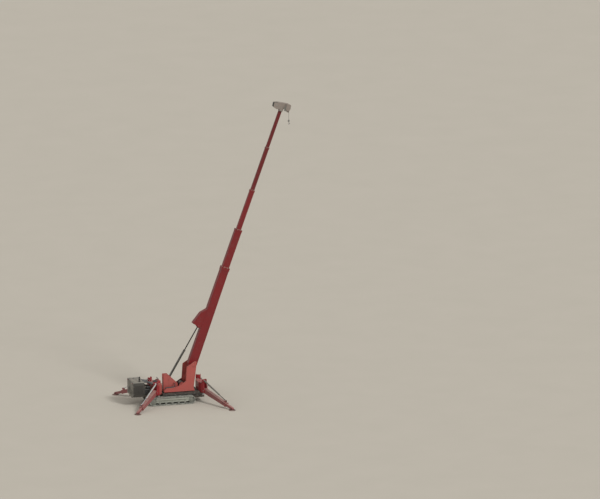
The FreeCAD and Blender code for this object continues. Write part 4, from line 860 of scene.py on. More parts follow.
caps, ribs, heads = Shell(), Shell(), Shell()
for leg in OUTRIGGERS:
    top = leg.pedestal_high
    x, y, _ = leg.kingpin
    heads.turned(((0, 0.066), (0.75, 0.066), (1, 0.056)), (x, y, top), (x, y, top + 0.018), 26)
    bolts_round(caps, (x, y, top + 0.018), (0, 0, 1), 0.046, 6, 0.008)
    heads.turned(((0, 0.05), (0.3, 0.06), (1, 0.06)), (x, y, 0.548), (x, y, 0.561), 24)
    sign = 1 if y > 0 else -1
    for shift in (-0.055, 0.055):
        ribs.place = axes_at((x + shift, sign * leg.wall, top - 0.05), (0, sign, 0))
        ribs.plate([(-0.004, 0.002), (0.034, 0.002), (-0.004, -0.11)], -0.006, 0.006)
ribs.place = Matrix.Identity(4)
heads.close("kingpin_caps", "chassis", "rod_chrome", PIN_STEEL)
caps.close("kingpin_bolts", "chassis", "rod_chrome", BOLT_ZINC)
ribs.close("pedestal_ribs", "chassis", "turret_red", LEG_RED, bevel=0.002)


# Power pack: doors, grilles, hinges, latches, lamps and lifting eyes on the housing

PACK_LEFT, PACK_RIGHT, PACK_SIDE, PACK_LOW, PACK_HIGH = -2.880, -2.190, 0.630, 0.560, 1.460

panels, sides, seams, grilles, metal, grips = [Shell() for _ in range(6)]
for sign in (-1, 1):
    y = sign * PACK_SIDE
    sides.block((PACK_LEFT + 0.012, y, PACK_LOW + 0.012),
                (PACK_RIGHT - 0.006, y + sign * 0.008, PACK_HIGH - 0.05), 0.004)
    for xs, zs in (((-2.80, -2.27), (0.70, 0.725)), ((-2.80, -2.27), (1.235, 1.26)), ((-2.80, -2.775), (0.70, 1.26)),
                   ((-2.295, -2.27), (0.70, 1.26)), ((-2.545, -2.525), (0.72, 1.24))):
        grilles.block((xs[0], y + sign * 0.008, zs[0]), (xs[1], y + sign * 0.018, zs[1]))
    grilles.take(SLATS.make(Count=19, Pitch=0.0275, Length=0.50, Depth=0.016, Thickness=0.003, Slant=0.75 * sign,
                            Finish=PACK_DARK), Matrix.Translation((-2.535, y + sign * 0.011, 0.735)))
    for z in (0.74, 1.21):
        hinge = Vector((PACK_LEFT + 0.045, y + sign * 0.014, z))
        metal.rod(hinge - raised(0.04), hinge + raised(0.04), 0.011, 12)
    grips.block((PACK_RIGHT - 0.085, y + sign * 0.006, 0.98), (PACK_RIGHT - 0.060, y + sign * 0.024, 1.07), 0.005)
    seams.block((PACK_LEFT + 0.04, y, PACK_LOW + 0.045), (PACK_RIGHT - 0.04, y + sign * 0.006, PACK_LOW + 0.052))

for half in (-1, 1):
    y = half * 0.300
    panels.block((PACK_LEFT - 0.008, y - 0.275, PACK_LOW + 0.07), (PACK_LEFT, y + 0.275, PACK_HIGH - 0.08), 0.004)
    for z in (0.72, 1.24):
        hinge = Vector((PACK_LEFT - 0.012, half * 0.570, z))
        metal.rod(hinge - raised(0.045), hinge + raised(0.045), 0.011, 12)
    grips.pipe([(PACK_LEFT - out, half * 0.075, z) for out, z in ((0.008, 0.94), (0.035, 0.95), (0.040, 1.01),
                                                                  (0.035, 1.07), (0.008, 1.08))], 0.008, 8)
    grilles.take(SLATS.make(Count=9, Pitch=0.03, Length=0.44, Depth=0.014, Thickness=0.003, Slant=0.75,
                            Finish=PACK_DARK), axes_at((PACK_LEFT - 0.010, y, 0.70), (0, 1, 0)))
panels.block((PACK_LEFT + 0.07, -0.53, PACK_HIGH), (PACK_RIGHT - 0.07, 0.53, PACK_HIGH + 0.008), 0.004)
panels.block((PACK_RIGHT, -0.53, PACK_LOW + 0.62), (PACK_RIGHT + 0.006, 0.53, PACK_HIGH - 0.09), 0.003)
for x, y in ((-2.77, -0.47), (-2.28, -0.47), (-2.77, 0.47), (-2.28, 0.47)):
    metal.pipe([(x, y + across, PACK_HIGH + up) for across, up in ((-0.035, 0.004), (-0.03, 0.035), (0.0, 0.052),
                                                                   (0.03, 0.035), (0.035, 0.004))], 0.009, 8)
metal.rod((-2.60, 0.32, PACK_HIGH + 0.005), (-2.60, 0.32, PACK_HIGH + 0.035), 0.046, 20, 0.006)
grips.rod((-2.60, 0.32, PACK_HIGH + 0.034), (-2.60, 0.32, PACK_HIGH + 0.056), 0.038, 20, 0.008)
for y in (-0.515, 0.515):
    bolts_along(metal, (PACK_LEFT + 0.10, y, PACK_HIGH + 0.008), (0, 0, 1), (1, 0, 0), 6, 0.098, 0.007)
panels.close("pack_doors", "chassis", "pack_grey", PACK_GREY)
sides.close("pack_side_panels", "chassis", "pack_grey", PACK_DARK)
seams.close("pack_seams", "chassis", "pack_grey", PACK_DARK)
grilles.close("pack_grilles", "chassis", "pack_grey", PACK_DARK)
metal.close("pack_hinges", "chassis", "rod_chrome", PIN_STEEL)
grips.close("pack_handles", "chassis", "pack_grey", KNOB_BLACK, bevel=0.0015)

rims, lenses, clear = Shell(), Shell(), Shell()
for half in (-1, 1):
    spot = Vector((PACK_LEFT - 0.008, half * 0.51, 1.395))
    rims.block(spot + Vector((-0.026, -0.07, -0.028)), spot + Vector((0.002, 0.07, 0.028)), 0.006)
    lenses.block(spot + Vector((-0.034, -0.062, -0.021)), spot + Vector((-0.024, 0.0, 0.021)), 0.003)
    clear.block(spot + Vector((-0.034, 0.004, -0.021)), spot + Vector((-0.024, 0.062, 0.021)), 0.003)
rims.close("lamp_bodies", "chassis", "pack_grey", KNOB_BLACK)
lenses.close("lamp_lenses_red", "chassis", "pack_grey", LAMP_RED)
clear.close("lamp_lenses_clear", "chassis", "pack_grey", LAMP_CLEAR)


# Engine: block, head, sump, pulleys and belt, alternator, air cleaner, filter, manifolds and flywheel housing

ENGINE_LEFT, ENGINE_RIGHT, ENGINE_NEAR, ENGINE_FAR = -2.170, -1.700, -0.345, 0.175

iron, cover, belts, bright, plastic = Shell(), Shell(), Shell(), Shell(), Shell()
mid_y = (ENGINE_NEAR + ENGINE_FAR) / 2
for x in (ENGINE_LEFT + 0.05, ENGINE_RIGHT - 0.05):
    iron.block((x - 0.035, ENGINE_NEAR + 0.05, 0.560), (x + 0.035, ENGINE_NEAR + 0.13, 0.640), 0.006)
    iron.block((x - 0.035, ENGINE_FAR - 0.13, 0.560), (x + 0.035, ENGINE_FAR - 0.05, 0.640), 0.006)
iron.block((ENGINE_LEFT + 0.07, ENGINE_NEAR + 0.08, 0.600), (ENGINE_RIGHT - 0.03, ENGINE_FAR - 0.08, 0.700), 0.018)
iron.block((ENGINE_LEFT + 0.04, ENGINE_NEAR + 0.06, 0.695), (ENGINE_RIGHT - 0.01, ENGINE_FAR - 0.06, 0.90), 0.012)
iron.block((ENGINE_LEFT + 0.05, ENGINE_NEAR + 0.09, 0.895), (ENGINE_RIGHT - 0.02, ENGINE_FAR - 0.09, 0.985), 0.008)
for step in range(5):
    x = ENGINE_LEFT + 0.09 + step * 0.08
    for y in (ENGINE_NEAR + 0.055, ENGINE_FAR - 0.055):
        iron.block((x - 0.008, y - 0.01, 0.70), (x + 0.008, y + 0.01, 0.89), 0.002)
cover.block((ENGINE_LEFT + 0.07, ENGINE_NEAR + 0.14, 0.984), (ENGINE_RIGHT - 0.04, ENGINE_FAR - 0.14, 1.045), 0.02)
cover.rod((ENGINE_LEFT + 0.16, mid_y, 1.04), (ENGINE_LEFT + 0.16, mid_y, 1.068), 0.026, 16, 0.005)
for step in range(4):
    x = ENGINE_LEFT + 0.11 + step * 0.105
    bright.pipe([(x, ENGINE_NEAR + 0.085, 0.95), (x, ENGINE_NEAR + 0.062, 0.99), (x + 0.005, ENGINE_NEAR + 0.07, 1.04),
                 (x + 0.02, ENGINE_NEAR + 0.13, 1.035)], 0.005, 8)
    iron.pipe([(x, ENGINE_NEAR + 0.10, 0.955), (x, ENGINE_NEAR + 0.055, 0.955), (x, ENGINE_NEAR + 0.045, 0.93),
               (x, ENGINE_NEAR + 0.045, 0.905)], 0.020, 12)
    iron.pipe([(x, ENGINE_FAR - 0.10, 0.945), (x, ENGINE_FAR - 0.055, 0.95), (x, ENGINE_FAR - 0.045, 0.975)], 0.021, 12)
for y, z, radius in ((ENGINE_NEAR + 0.042, 0.895, 0.030), (ENGINE_FAR - 0.042, 0.985, 0.027)):
    iron.rod((ENGINE_LEFT + 0.07, y, z), (ENGINE_RIGHT - 0.05, y, z), radius, 16, 0.006)
iron.pipe([(ENGINE_LEFT + 0.11, ENGINE_FAR - 0.05, 0.985), (ENGINE_LEFT + 0.085, ENGINE_FAR - 0.12, 1.04),
           (ENGINE_LEFT + 0.04, -0.085, 1.062), (ENGINE_LEFT - 0.021, -0.085, 1.062)], 0.034, 16)
pulley = Vector((ENGINE_RIGHT - 0.012, mid_y, 0.74))
high_pulley = Vector((ENGINE_RIGHT - 0.012, mid_y + 0.02, 0.93))
generator = Vector((ENGINE_RIGHT - 0.012, ENGINE_NEAR + 0.115, 0.86))
for spot, radius in ((pulley, 0.075), (high_pulley, 0.058), (generator, 0.036)):
    iron.turned(((0, radius), (0.15, radius), (0.35, radius * 0.86), (0.65, radius * 0.86), (0.85, radius),
                 (1, radius)), spot - Vector((0.014, 0, 0)), spot + Vector((0.012, 0, 0)), 26)
corners = []
for spot, radius, start, stop in ((pulley, 0.069, -2.9, -0.1), (high_pulley, 0.053, 0.1, 1.5),
                                  (generator, 0.033, 1.6, 3.4)):
    for step in range(9):
        angle = start + (stop - start) * step / 8
        corners.append((spot.y + radius * math.cos(angle), spot.z + radius * math.sin(angle)))
belts.place = axes_at((ENGINE_RIGHT - 0.013, 0, 0), (0, 1, 0))
count = len(corners)
for index in range(count):
    start, stop = Vector(corners[index]), Vector(corners[(index + 1) % count])
    side = Vector((stop.y - start.y, start.x - stop.x))
    if side.length < 1e-6:
        continue
    side = side.normalized() * 0.005
    belts.plate([spot.to_tuple() for spot in (start + side, stop + side, stop - side, start - side)], -0.008, 0.008)
belts.place = Matrix.Identity(4)
bright.rod(generator + Vector((-0.13, 0, 0)), generator + Vector((-0.02, 0, 0)), 0.050, 20, 0.008)
oil_filter = Vector((ENGINE_LEFT + 0.26, ENGINE_NEAR + 0.065, 0.78))
iron.turned(((0, 0.04), (0.05, 0.046), (0.92, 0.046), (1, 0.03)), oil_filter, oil_filter - raised(0.12), 22)
plastic.turned(((0, 0.05), (0.04, 0.062), (0.7, 0.062), (0.73, 0.066), (0.95, 0.066), (1, 0.05)),
               (ENGINE_LEFT + 0.19, ENGINE_NEAR + 0.06, 1.043), (ENGINE_RIGHT - 0.03, ENGINE_NEAR + 0.06, 1.043), 26)
iron.turned(((0, 0.07), (0.1, 0.085), (1, 0.085)), (ENGINE_LEFT + 0.002, mid_y, 0.77),
            (ENGINE_LEFT + 0.05, mid_y, 0.77), 28)
bolts_round(bright, (ENGINE_LEFT + 0.012, mid_y, 0.77), (-1, 0, 0), 0.06, 8, 0.006)
bolts_along(bright, (ENGINE_LEFT + 0.10, ENGINE_NEAR + 0.062, 0.64), (0, -1, 0), (1, 0, 0), 5, 0.075, 0.006)
bolts_along(bright, (ENGINE_LEFT + 0.09, mid_y - 0.07, 1.045), (0, 0, 1), (1, 0, 0), 4, 0.10, 0.006)
iron.close("engine_castings", "chassis", "engine_iron", ENGINE_IRON, ("engine_block",), bevel=0.0015)
cover.close("engine_rocker_cover", "chassis", "engine_iron", FRAME_GREY, ("engine_block",))
belts.close("engine_belt", "chassis", "engine_iron", KNOB_BLACK)
bright.close("engine_fittings", "chassis", "rod_chrome", PIN_STEEL)
plastic.close("engine_air_cleaner", "chassis", "engine_iron", KNOB_BLACK)


# Tank: straps, filler bolts and a sight gauge; exhaust: a stepped stack with two clamps

straps, gauge = Shell(), Shell()
for x in (-2.08, -1.79):
    straps.block((x - 0.018, 0.172, 0.56), (x + 0.018, 0.349, 1.064), 0.003)
bolts_round(straps, (-1.935, 0.260, 1.062), (0, 0, 1), 0.052, 6, 0.005)
gauge.rod((-1.935, 0.351, 0.68), (-1.935, 0.351, 0.84), 0.009, 12)
gauge.block((-1.950, 0.343, 0.66), (-1.920, 0.352, 0.69), 0.002)
gauge.block((-1.950, 0.343, 0.83), (-1.920, 0.352, 0.86), 0.002)
straps.close("tank_straps", "chassis", "frame_grey", PACK_DARK)
gauge.close("tank_gauge", "chassis", "frame_grey", LAMP_CLEAR)

silencer, clamps = Shell(), Shell()
base = Vector((-2.45, -0.48, 1.460))
silencer.turned(((0, 0.054), (0.06, 0.054), (0.08, 0.044), (0.12, 0.044), (0.16, 0.054), (0.80, 0.054), (0.84, 0.040),
                 (1.0, 0.040), (1.0, 0.034), (0.90, 0.033)), base, base + raised(0.30), 28)
for z in (0.065, 0.20):
    clamps.turned(((0, 0.0548), (1, 0.0548)), base + raised(z), base + raised(z + 0.015), 28)
silencer.close("exhaust_stack", "chassis", "exhaust_black", EXHAUST_BLACK, ("exhaust_pipe",))
clamps.close("exhaust_clamps", "chassis", "rod_chrome", PIN_STEEL)


# Valve bank: one section for each lever, end plates, hoses and their unions, lever boots and knobs

VALVE_LEFT, VALVE_RIGHT, VALVE_LOW, VALVE_HIGH, VALVE_HALF, LEVERS = -1.290, -1.080, 1.225, 1.375, 0.210, 6
UNIONS = ((1.265, 0.0), (1.32, 0.05))
bank, rods, knobs, unions, hoses = [Shell() for _ in range(5)]
pitch = 2 * VALVE_HALF / LEVERS
for index in range(LEVERS):
    y = (index + 0.5) * pitch - VALVE_HALF
    bank.block((VALVE_LEFT + 0.012, y - pitch * 0.46, VALVE_LOW + 0.012),
               (VALVE_RIGHT - 0.012, y + pitch * 0.46, VALVE_HIGH - 0.02), 0.004)
    bank.block((VALVE_LEFT + 0.04, y - pitch * 0.3, VALVE_HIGH - 0.022),
               (VALVE_RIGHT - 0.04, y + pitch * 0.3, VALVE_HIGH - 0.003), 0.004)
    lever = Vector((VALVE_LEFT + 0.07, y, VALVE_HIGH - 0.005))
    knobs.turned(((0, 0.021), (0.25, 0.019), (0.5, 0.020), (0.75, 0.014), (1, 0.009)),
                 lever, lever + raised(0.030), 16)
    rods.rod(lever + raised(0.02), lever + raised(0.108), 0.005, 10)
    knobs.turned(((0, 0.006), (0.15, 0.012), (0.45, 0.017), (0.75, 0.014), (1, 0.005)),
                 lever + raised(0.097), lever + raised(0.134), 16)
    for z, lift in UNIONS:
        unions.rod((VALVE_LEFT + 0.014, y, z), (VALVE_LEFT + 0.001, y, z), 0.015, 6)
        hoses.pipe([(VALVE_LEFT + 0.004, y, z), (VALVE_LEFT - 0.06, y, z - 0.004),
                    *[(x, y * spread, high + lift) for x, spread, high in (
                        (-1.50, 1.1, 1.17), (-1.70, 1.25, 1.20), (-1.90, 1.4, 1.30), (-2.10, 1.5, 1.345),
                        (-2.196, 1.5, 1.345))]], 0.0175, 8)
for y in (-VALVE_HALF + 0.006, VALVE_HALF - 0.006):
    bank.block((VALVE_LEFT + 0.004, y - 0.006, VALVE_LOW), (VALVE_RIGHT - 0.004, y + 0.006, VALVE_HIGH), 0.002)
bank.block((VALVE_LEFT, -VALVE_HALF, VALVE_LOW), (VALVE_RIGHT, VALVE_HALF, VALVE_LOW + 0.013))
bank.close("valve_sections", "chassis", "frame_grey", LEG_RED, ("control_valves",))
rods.close("valve_levers", "chassis", "rod_chrome", PIN_STEEL, ("control_valves",))
knobs.close("valve_knobs", "chassis", "frame_grey", KNOB_BLACK, ("control_valves",))
unions.close("valve_unions", "chassis", "rod_chrome", BOLT_ZINC, ("control_valves",))
hoses.close("valve_hoses", "chassis", "frame_grey", HOSE_BLACK)


# Turret: rims along the cheeks, pin caps, the slew drives, pipes, black hoses that also stand in for a painted shadow
# line, and the winch in a paint darkened to stand in for shade

CHEEK_HALF, ROOM_HALF = 0.475, 0.160


def rim_strip(shell, line, inner, outer, low, high):
    """A flat strip along a line in the XZ plane, from inner to outer beside it."""
    for start, stop in zip(line, line[1:]):
        start, stop = Vector(start), Vector(stop)
        ahead = (stop - start).normalized()
        side = Vector((-ahead.y, ahead.x))
        shell.plate([spot.to_tuple() for spot in (start + side * inner, stop + side * inner, stop + side * outer,
                                                  start + side * outer)], low, high)


rims, pins, bolts = Shell(), Shell(), Shell()
for sign in (-1, 1):
    out = Vector((0, sign, 0))
    limits = sign * (CHEEK_HALF - 0.001), sign * (CHEEK_HALF + 0.009)
    rim_strip(rims, [(-0.915, 0.700), (0.915, 0.700)], 0.0, 0.024, *limits)
    rim_strip(rims, [(0.853, 0.905), (1.045, 2.390)], 0.008, 0.030, *limits)
    rim_strip(rims, [(0.920, 2.434), (0.482, 2.162), (0.440, 2.090), (0.392, 1.288), (0.087, 1.076), (-0.226, 0.950),
                     (-0.79, 0.911)], 0.004, 0.024, *limits)
    spot = BOOM_FOOT + out * CHEEK_HALF
    pins.turned(((0, 0.110), (0.5, 0.110), (0.55, 0.092), (1, 0.086)), spot, spot + out * 0.012, 34)
    pins.turned(((0, 0.060), (0.8, 0.060), (1, 0.050)), spot + out * 0.010, spot + out * 0.022, 30)
    bolts_round(bolts, spot + out * 0.007, out, 0.098, 8, 0.007)
    bolts_round(bolts, Vector((-0.42, 0, 0.80)) + out * CHEEK_HALF, out, 0.05, 4, 0.007)
    spot = LUFF_FOOT + out * ROOM_HALF
    pins.turned(((0, 0.066), (0.7, 0.066), (1, 0.058)), spot, spot + out * 0.008, 28)
    bolts_round(bolts, spot + out * 0.008, out, 0.050, 4, 0.006)
    rim_strip(rims, [(-0.885, 0.75), (-0.885, 1.685), (-0.63, 1.685), (-0.045, 1.13)], -0.022, 0.0,
              sign * ROOM_HALF, sign * (ROOM_HALF + 0.008))
rims.close("turret_rims", "turret", "turret_red", TURRET_RED, bevel=0.002)
pins.close("turret_pin_caps", "turret", "turret_red", TURRET_RED)
bolts.close("turret_bolts", "turret", "turret_red", TURRET_RED)

drive, drive_bolts = Shell(), Shell()
for sign in (-1, 1):
    spot = Vector((-0.42, sign * 0.30, 0.730))
    drive.turned(((0, 0.105), (0.06, 0.105), (0.06, 0.088), (0.4, 0.088), (0.42, 0.072), (0.72, 0.068), (0.74, 0.058),
                  (0.97, 0.058), (1, 0.048)), spot, spot + raised(0.235), 28)
    bolts_round(drive_bolts, spot + raised(0.014), (0, 0, 1), 0.096, 10, 0.006)
drive.close("slew_drives", "turret", "engine_iron", ENGINE_IRON)
drive_bolts.close("slew_drive_bolts", "turret", "rod_chrome", BOLT_ZINC)

tubes, blocks, lines = Shell(), Shell(), Shell()
for index, y in enumerate((0.195, 0.215, 0.235)):
    z = 0.745 + 0.006 * index
    tubes.pipe([(-0.86, y, z + 0.03), (-0.80, y, z), (-0.3, y, z), (0.0, y, z), (0.04, y + 0.03, z),
                (0.04, y + 0.13, z), (0.08, y + 0.16, z), (0.6, y + 0.16, z), (0.68, y + 0.16, z + 0.02)], 0.0075, 8)
for x in (-0.62, -0.15):
    blocks.block((x - 0.02, 0.183, 0.731), (x + 0.02, 0.247, 0.768), 0.004)
blocks.block((0.60, 0.30, 0.731), (0.72, 0.415, 0.80), 0.006)
# Two black hoses along the near cheek only, laid where a shadow line falls under the luffing bracket: partly real
# hoses, partly a painted shadow.
for y, lift in ((-0.418, 0.0), (-0.376, 0.012)):
    lines.pipe([(-0.872, y, 0.735), (-0.868, y, 0.86), (-0.84, y, 0.935 + lift), (-0.76, y, 0.952 + lift),
                (-0.55, y, 0.962 + lift), (-0.36, y, 0.974 + lift), (-0.285, y, 1.00 + lift),
                (-0.262, y + 0.02, 1.08 + lift), (-0.262, y + 0.09, 1.14 + lift), (-0.262, -0.158, 1.155 + lift)],
               0.0185, 8)
lines.close("turret_shadow_line_hoses", "turret", "frame_grey", HOSE_BLACK)
tubes.close("turret_pipes", "turret", "rod_chrome", PIN_STEEL)
blocks.close("turret_pipe_clamps", "turret", "frame_grey", KNOB_BLACK)

# The winch drive, drum and flange ribs take the winch paint that is darkened for painted shade.
motor, motor_bolts = Shell(), Shell()
spot = WINCH + Vector((0, 0.248, 0))
motor.turned(((0, 0.088), (0.1, 0.088), (0.12, 0.078), (0.45, 0.078), (0.47, 0.064), (0.86, 0.064), (0.88, 0.050),
              (1, 0.046)), spot, spot + Vector((0, 0.150, 0)), 32)
motor.block((0.19, 0.33, 1.14), (0.25, 0.39, 1.165), 0.004)
bolts_round(motor_bolts, spot + Vector((0, 0.015, 0)), (0, 1, 0), 0.082, 10, 0.005)
motor.close("winch_drive", "turret", "engine_iron", WINCH_SHADED, ("winch_motor",))
motor_bolts.close("winch_drive_bolts", "turret", "rod_chrome", BOLT_ZINC)

rope, drum = Shell(), Shell()
rope.take(COILS.make(Turns=20.5, Coil_Radius=0.113, Length=0.372, Rope_Radius=0.0088, Finish=ROPE),
          facing(WINCH + Vector((0, -0.186, 0)), (0, 1, 0)))
rope.close("winch_rope", "drum", "roller_steel", ROPE)
for sign in (-1, 1):
    out = Vector((0, sign, 0))
    for step in range(8):
        drum.place = axes_at(WINCH + out * 0.197 + out * 0.019, level(math.pi / 4 * step), out)
        drum.plate([(0.05, -0.002), (0.172, -0.002), (0.172, 0.001), (0.05, 0.003)], -0.006, 0.006)
drum.place = Matrix.Identity(4)
drum.close("winch_flange_ribs", "drum", "roller_steel", WINCH_SHADED)


# Boom: bolts and wear pads at each mouth, strips along its sides and clamped pipes

# section, where its head ends, half height, half width, how proud its collar is
BOOM_TABLE = (
    ("boom", 6.070, 0.238, 0.170, 0.016),
    ("section_2", 8.440, 0.200, 0.140, 0.009),
    ("section_3", 10.920, 0.135, 0.095, 0.009),
    ("section_4", 13.600, 0.108, 0.073, 0.009),
    ("section_5", 15.980, 0.093, 0.060, 0.0),
)
for (body, head, _, wide, proud), (_, _, inner_high, inner_wide, _) in zip(BOOM_TABLE, BOOM_TABLE[1:]):
    pads, screws = Shell(BOOM), Shell(BOOM)
    depth = max(0.010, min(0.03, (wide - inner_wide) * 0.8))
    for sign in (-1, 1):
        for low, high in ((-inner_high * 0.72, -inner_high * 0.18), (inner_high * 0.18, inner_high * 0.72)):
            pads.block((head, sign * (inner_wide + 0.0025), low),
                       (head + 0.012, sign * (inner_wide + depth), high), 0.002)
        pads.block((head, -inner_wide * 0.72, sign * (inner_high + 0.0025)),
                   (head + 0.012, inner_wide * 0.72, sign * (inner_high + depth)), 0.002)
        for shift in (-0.5, 0.5):
            screws.take(BOLT_ROW.make(Count=2, Pitch=0.045, Bolt_Radius=0.007, Bolt_Height=0.008, Finish=BOLT_ZINC),
                        squared(BOOM, (head - 0.055, sign * (wide + proud), shift * inner_high * 1.2), (0, sign, 0),
                                level(BOOM_RISE)))
    pads.close(body + "_wear_pads", body, "boom_red", PAD_NYLON)
    screws.close(body + "_pad_screws", body, "rod_chrome", BOLT_ZINC)

BASE_SIDE = 0.169
strips = Shell(BOOM)
for sign in (-1, 1):
    limits = sign * BASE_SIDE, sign * 0.176
    strips.plate([(0.20, -0.262), (5.84, -0.208), (5.84, -0.190), (0.20, -0.244)], *limits)
    strips.plate(rectangle(0.20, 5.84, 0.212, 0.232), *limits)
    for start in (0.42, 5.70):
        strips.plate(rectangle(start, start + 0.02, -0.24, 0.215), *limits)
strips.close("boom_strips", "boom", "boom_red", BOOM_RED, bevel=0.002)

tubes, clamps = Shell(BOOM), Shell(BOOM)
for index in range(3):
    t = 0.10 + 0.028 * index
    tubes.pipe([(0.50, 0.178, t), *[(s, 0.188, t) for s in (0.56, 0.9, 2.5, 4.2, 5.60)], (5.72, 0.186, t),
                (5.80, 0.176, t)], 0.0085, 8)
for step in range(7):
    s = 0.85 + step * 0.78
    clamps.block((s - 0.02, BASE_SIDE, 0.078), (s + 0.02, 0.203, 0.178), 0.004)
tubes.close("boom_pipes", "boom", "rod_chrome", PIN_STEEL)
clamps.close("boom_pipe_clamps", "boom", "frame_grey", KNOB_BLACK)

rims, pins = Shell(BOOM), Shell(BOOM)
for sign in (-1, 1):
    rim_strip(rims, [(2.195, 0.25), (2.342, 0.780), (3.05, 0.530), (3.365, 0.245)], -0.022, -0.002,
              sign * BASE_SIDE, sign * 0.177)
    spot = Vector((2.250, sign * 0.186, 0.385))
    pins.turned(((0, 0.058), (0.6, 0.058), (1, 0.046)), spot, spot + Vector((0, sign * 0.011, 0)), 28)
    pins.turned(((0, 0.082), (0.8, 0.082), (1, 0.076)), Vector((2.250, sign * BASE_SIDE, 0.385)),
                spot - Vector((0, sign * 0.004, 0)), 28)
rims.close("hood_rims", "boom", "boom_red", BOOM_RED, bevel=0.002)
pins.close("hood_pin_caps", "boom", "boom_red", BOOM_RED)


# Luffing cylinder: bands at the gland and along the barrel, ports and a pipe between them

gland, ports = Shell(LUFF), Shell(LUFF)
gland.turned(((0, 0.062), (0, 0.0685), (1, 0.0685), (1, 0.062)), (1.872, 0, 0), (1.888, 0, 0), 36, hollow=True)
gland.turned(((0, 0.0365), (0, 0.044), (0.5, 0.050), (1, 0.046), (1, 0.0365)), (1.948, 0, 0), (1.962, 0, 0), 32,
             hollow=True)
for s in (0.20, 1.76):
    ports.block((s, -0.026, 0.052), (s + 0.06, 0.026, 0.076), 0.005)
ports.pipe([(0.24, 0, 0.072), (0.32, 0, 0.074), *[(s, 0, 0.073) for s in (0.6, 1.1, 1.5, 1.77)]], 0.0065, 8)
for s in (0.55, 1.0, 1.45):
    gland.turned(((0, 0.0565), (0, 0.0600), (1, 0.0600), (1, 0.0565)), (s - 0.014, 0, 0), (s + 0.014, 0, 0), 36,
                 hollow=True)
    ports.block((s - 0.014, -0.014, 0.056), (s + 0.014, 0.014, 0.082), 0.003)
gland.close("luff_gland", "luff_cylinder", "cylinder_silver", CYLINDER_DARK)
ports.close("luff_ports", "luff_cylinder", "rod_chrome", PIN_STEEL)


# Boom head: end caps, cover seams, bolts, pin caps and a work lamp

HEAD_END, HEAD_SIDE = 16.0, 0.160
seams, bolts, dark, pins, lens = [Shell(BOOM) for _ in range(5)]
for sign in (-1, 1):
    limits = sign * 0.1545, sign * HEAD_SIDE
    rim_strip(seams, [(HEAD_END + 0.403, -0.36), (HEAD_END + 0.332, 0.30)], 0.0, 0.018, *limits)
    rim_strip(seams, [(HEAD_END - 0.045, 0.31), (HEAD_END, 0.50)], -0.02, -0.002, *limits)
    seams.plate(rectangle(HEAD_END - 0.09, HEAD_END + 0.12, -0.085, 0.085), *limits)
    side = Vector((0, sign, 0))
    for s, t in ((-0.06, -0.06), (-0.06, 0.06), (0.09, -0.06), (0.09, 0.06)):
        bolts.take(BOLT_ROW.make(Count=1, Pitch=0.05, Bolt_Radius=0.009, Bolt_Height=0.008, Finish=BOLT_ZINC),
                   squared(BOOM, (HEAD_END + s, sign * HEAD_SIDE, t), side))
    spot = Vector((HEAD_END + 0.165, sign * 0.155, 0.370))
    pins.turned(((0, 0.044), (0.7, 0.044), (1, 0.036)), spot, spot + side * 0.009, 26)
    bolts.take(BOLT_RING.make(Count=4, Ring_Radius=0.032, Bolt_Radius=0.005, Bolt_Height=0.004, Finish=BOLT_ZINC),
               squared(BOOM, spot + side * 0.009, side))
dark.block((HEAD_END + 0.02, -0.134, 0.505), (HEAD_END + 0.27, 0.134, 0.525), 0.006)
dark.block((HEAD_END, -0.134, -0.465), (HEAD_END + 0.27, 0.134, -0.450), 0.004)
for shift in (-0.10, 0.0, 0.10):
    dark.block((HEAD_END + 0.05, shift - 0.028, 0.522), (HEAD_END + 0.24, shift + 0.028, 0.531), 0.003)
for step in (-0.24, 0.0, 0.24):
    bolts.take(BOLT_ROW.make(Count=2, Pitch=0.20, Bolt_Radius=0.008, Bolt_Height=0.006, Finish=BOLT_ZINC),
               squared(BOOM, (HEAD_END + 0.368 - step * 0.118, -0.10, step), level(BOOM_RISE), (0, 1, 0)))
seams.close("head_seams", "section_5", "head_beige", HEAD_BEIGE, bevel=0.0015)
bolts.close("head_bolts", "section_5", "rod_chrome", BOLT_ZINC)
dark.close("head_end_caps", "section_5", "head_beige", HEAD_DARK)
pins.close("head_pin_caps", "section_5", "rod_chrome", PIN_STEEL)
lens.rod((HEAD_END - 0.050, 0, -0.27), (HEAD_END + 0.02, 0, -0.27), 0.040, 20, 0.006)
lens.close("head_lamp", "section_5", "head_beige", LAMP_CLEAR)


# Rope guard: a plate on the outer side of the fall sheave, held by an arm from the head's end

guard = Shell(BOOM)
guard.plate([(16.02, -0.300), (16.08, -0.200), (16.28, -0.180), (16.41, -0.215), (16.45, -0.280), (16.45, -0.365),
             (16.41, -0.435), (16.35, -0.455), (16.10, -0.455)], -0.3085, -0.3030)
guard.block((16.13, -0.3085, -0.466), (16.27, -0.150, -0.454), 0.002)
guard.close("rope_guard", "section_5", "head_beige", HEAD_BEIGE, bevel=0.0015)


# Sheaves: a rounded groove, a dished web with dark discs painted on it as the shade of holes, and a hub

SHEAVE_HALF, SHEAVE_SIDES, SHEAVE_HOLES, HOLE_RING = 0.0195, 40, 6, 0.082


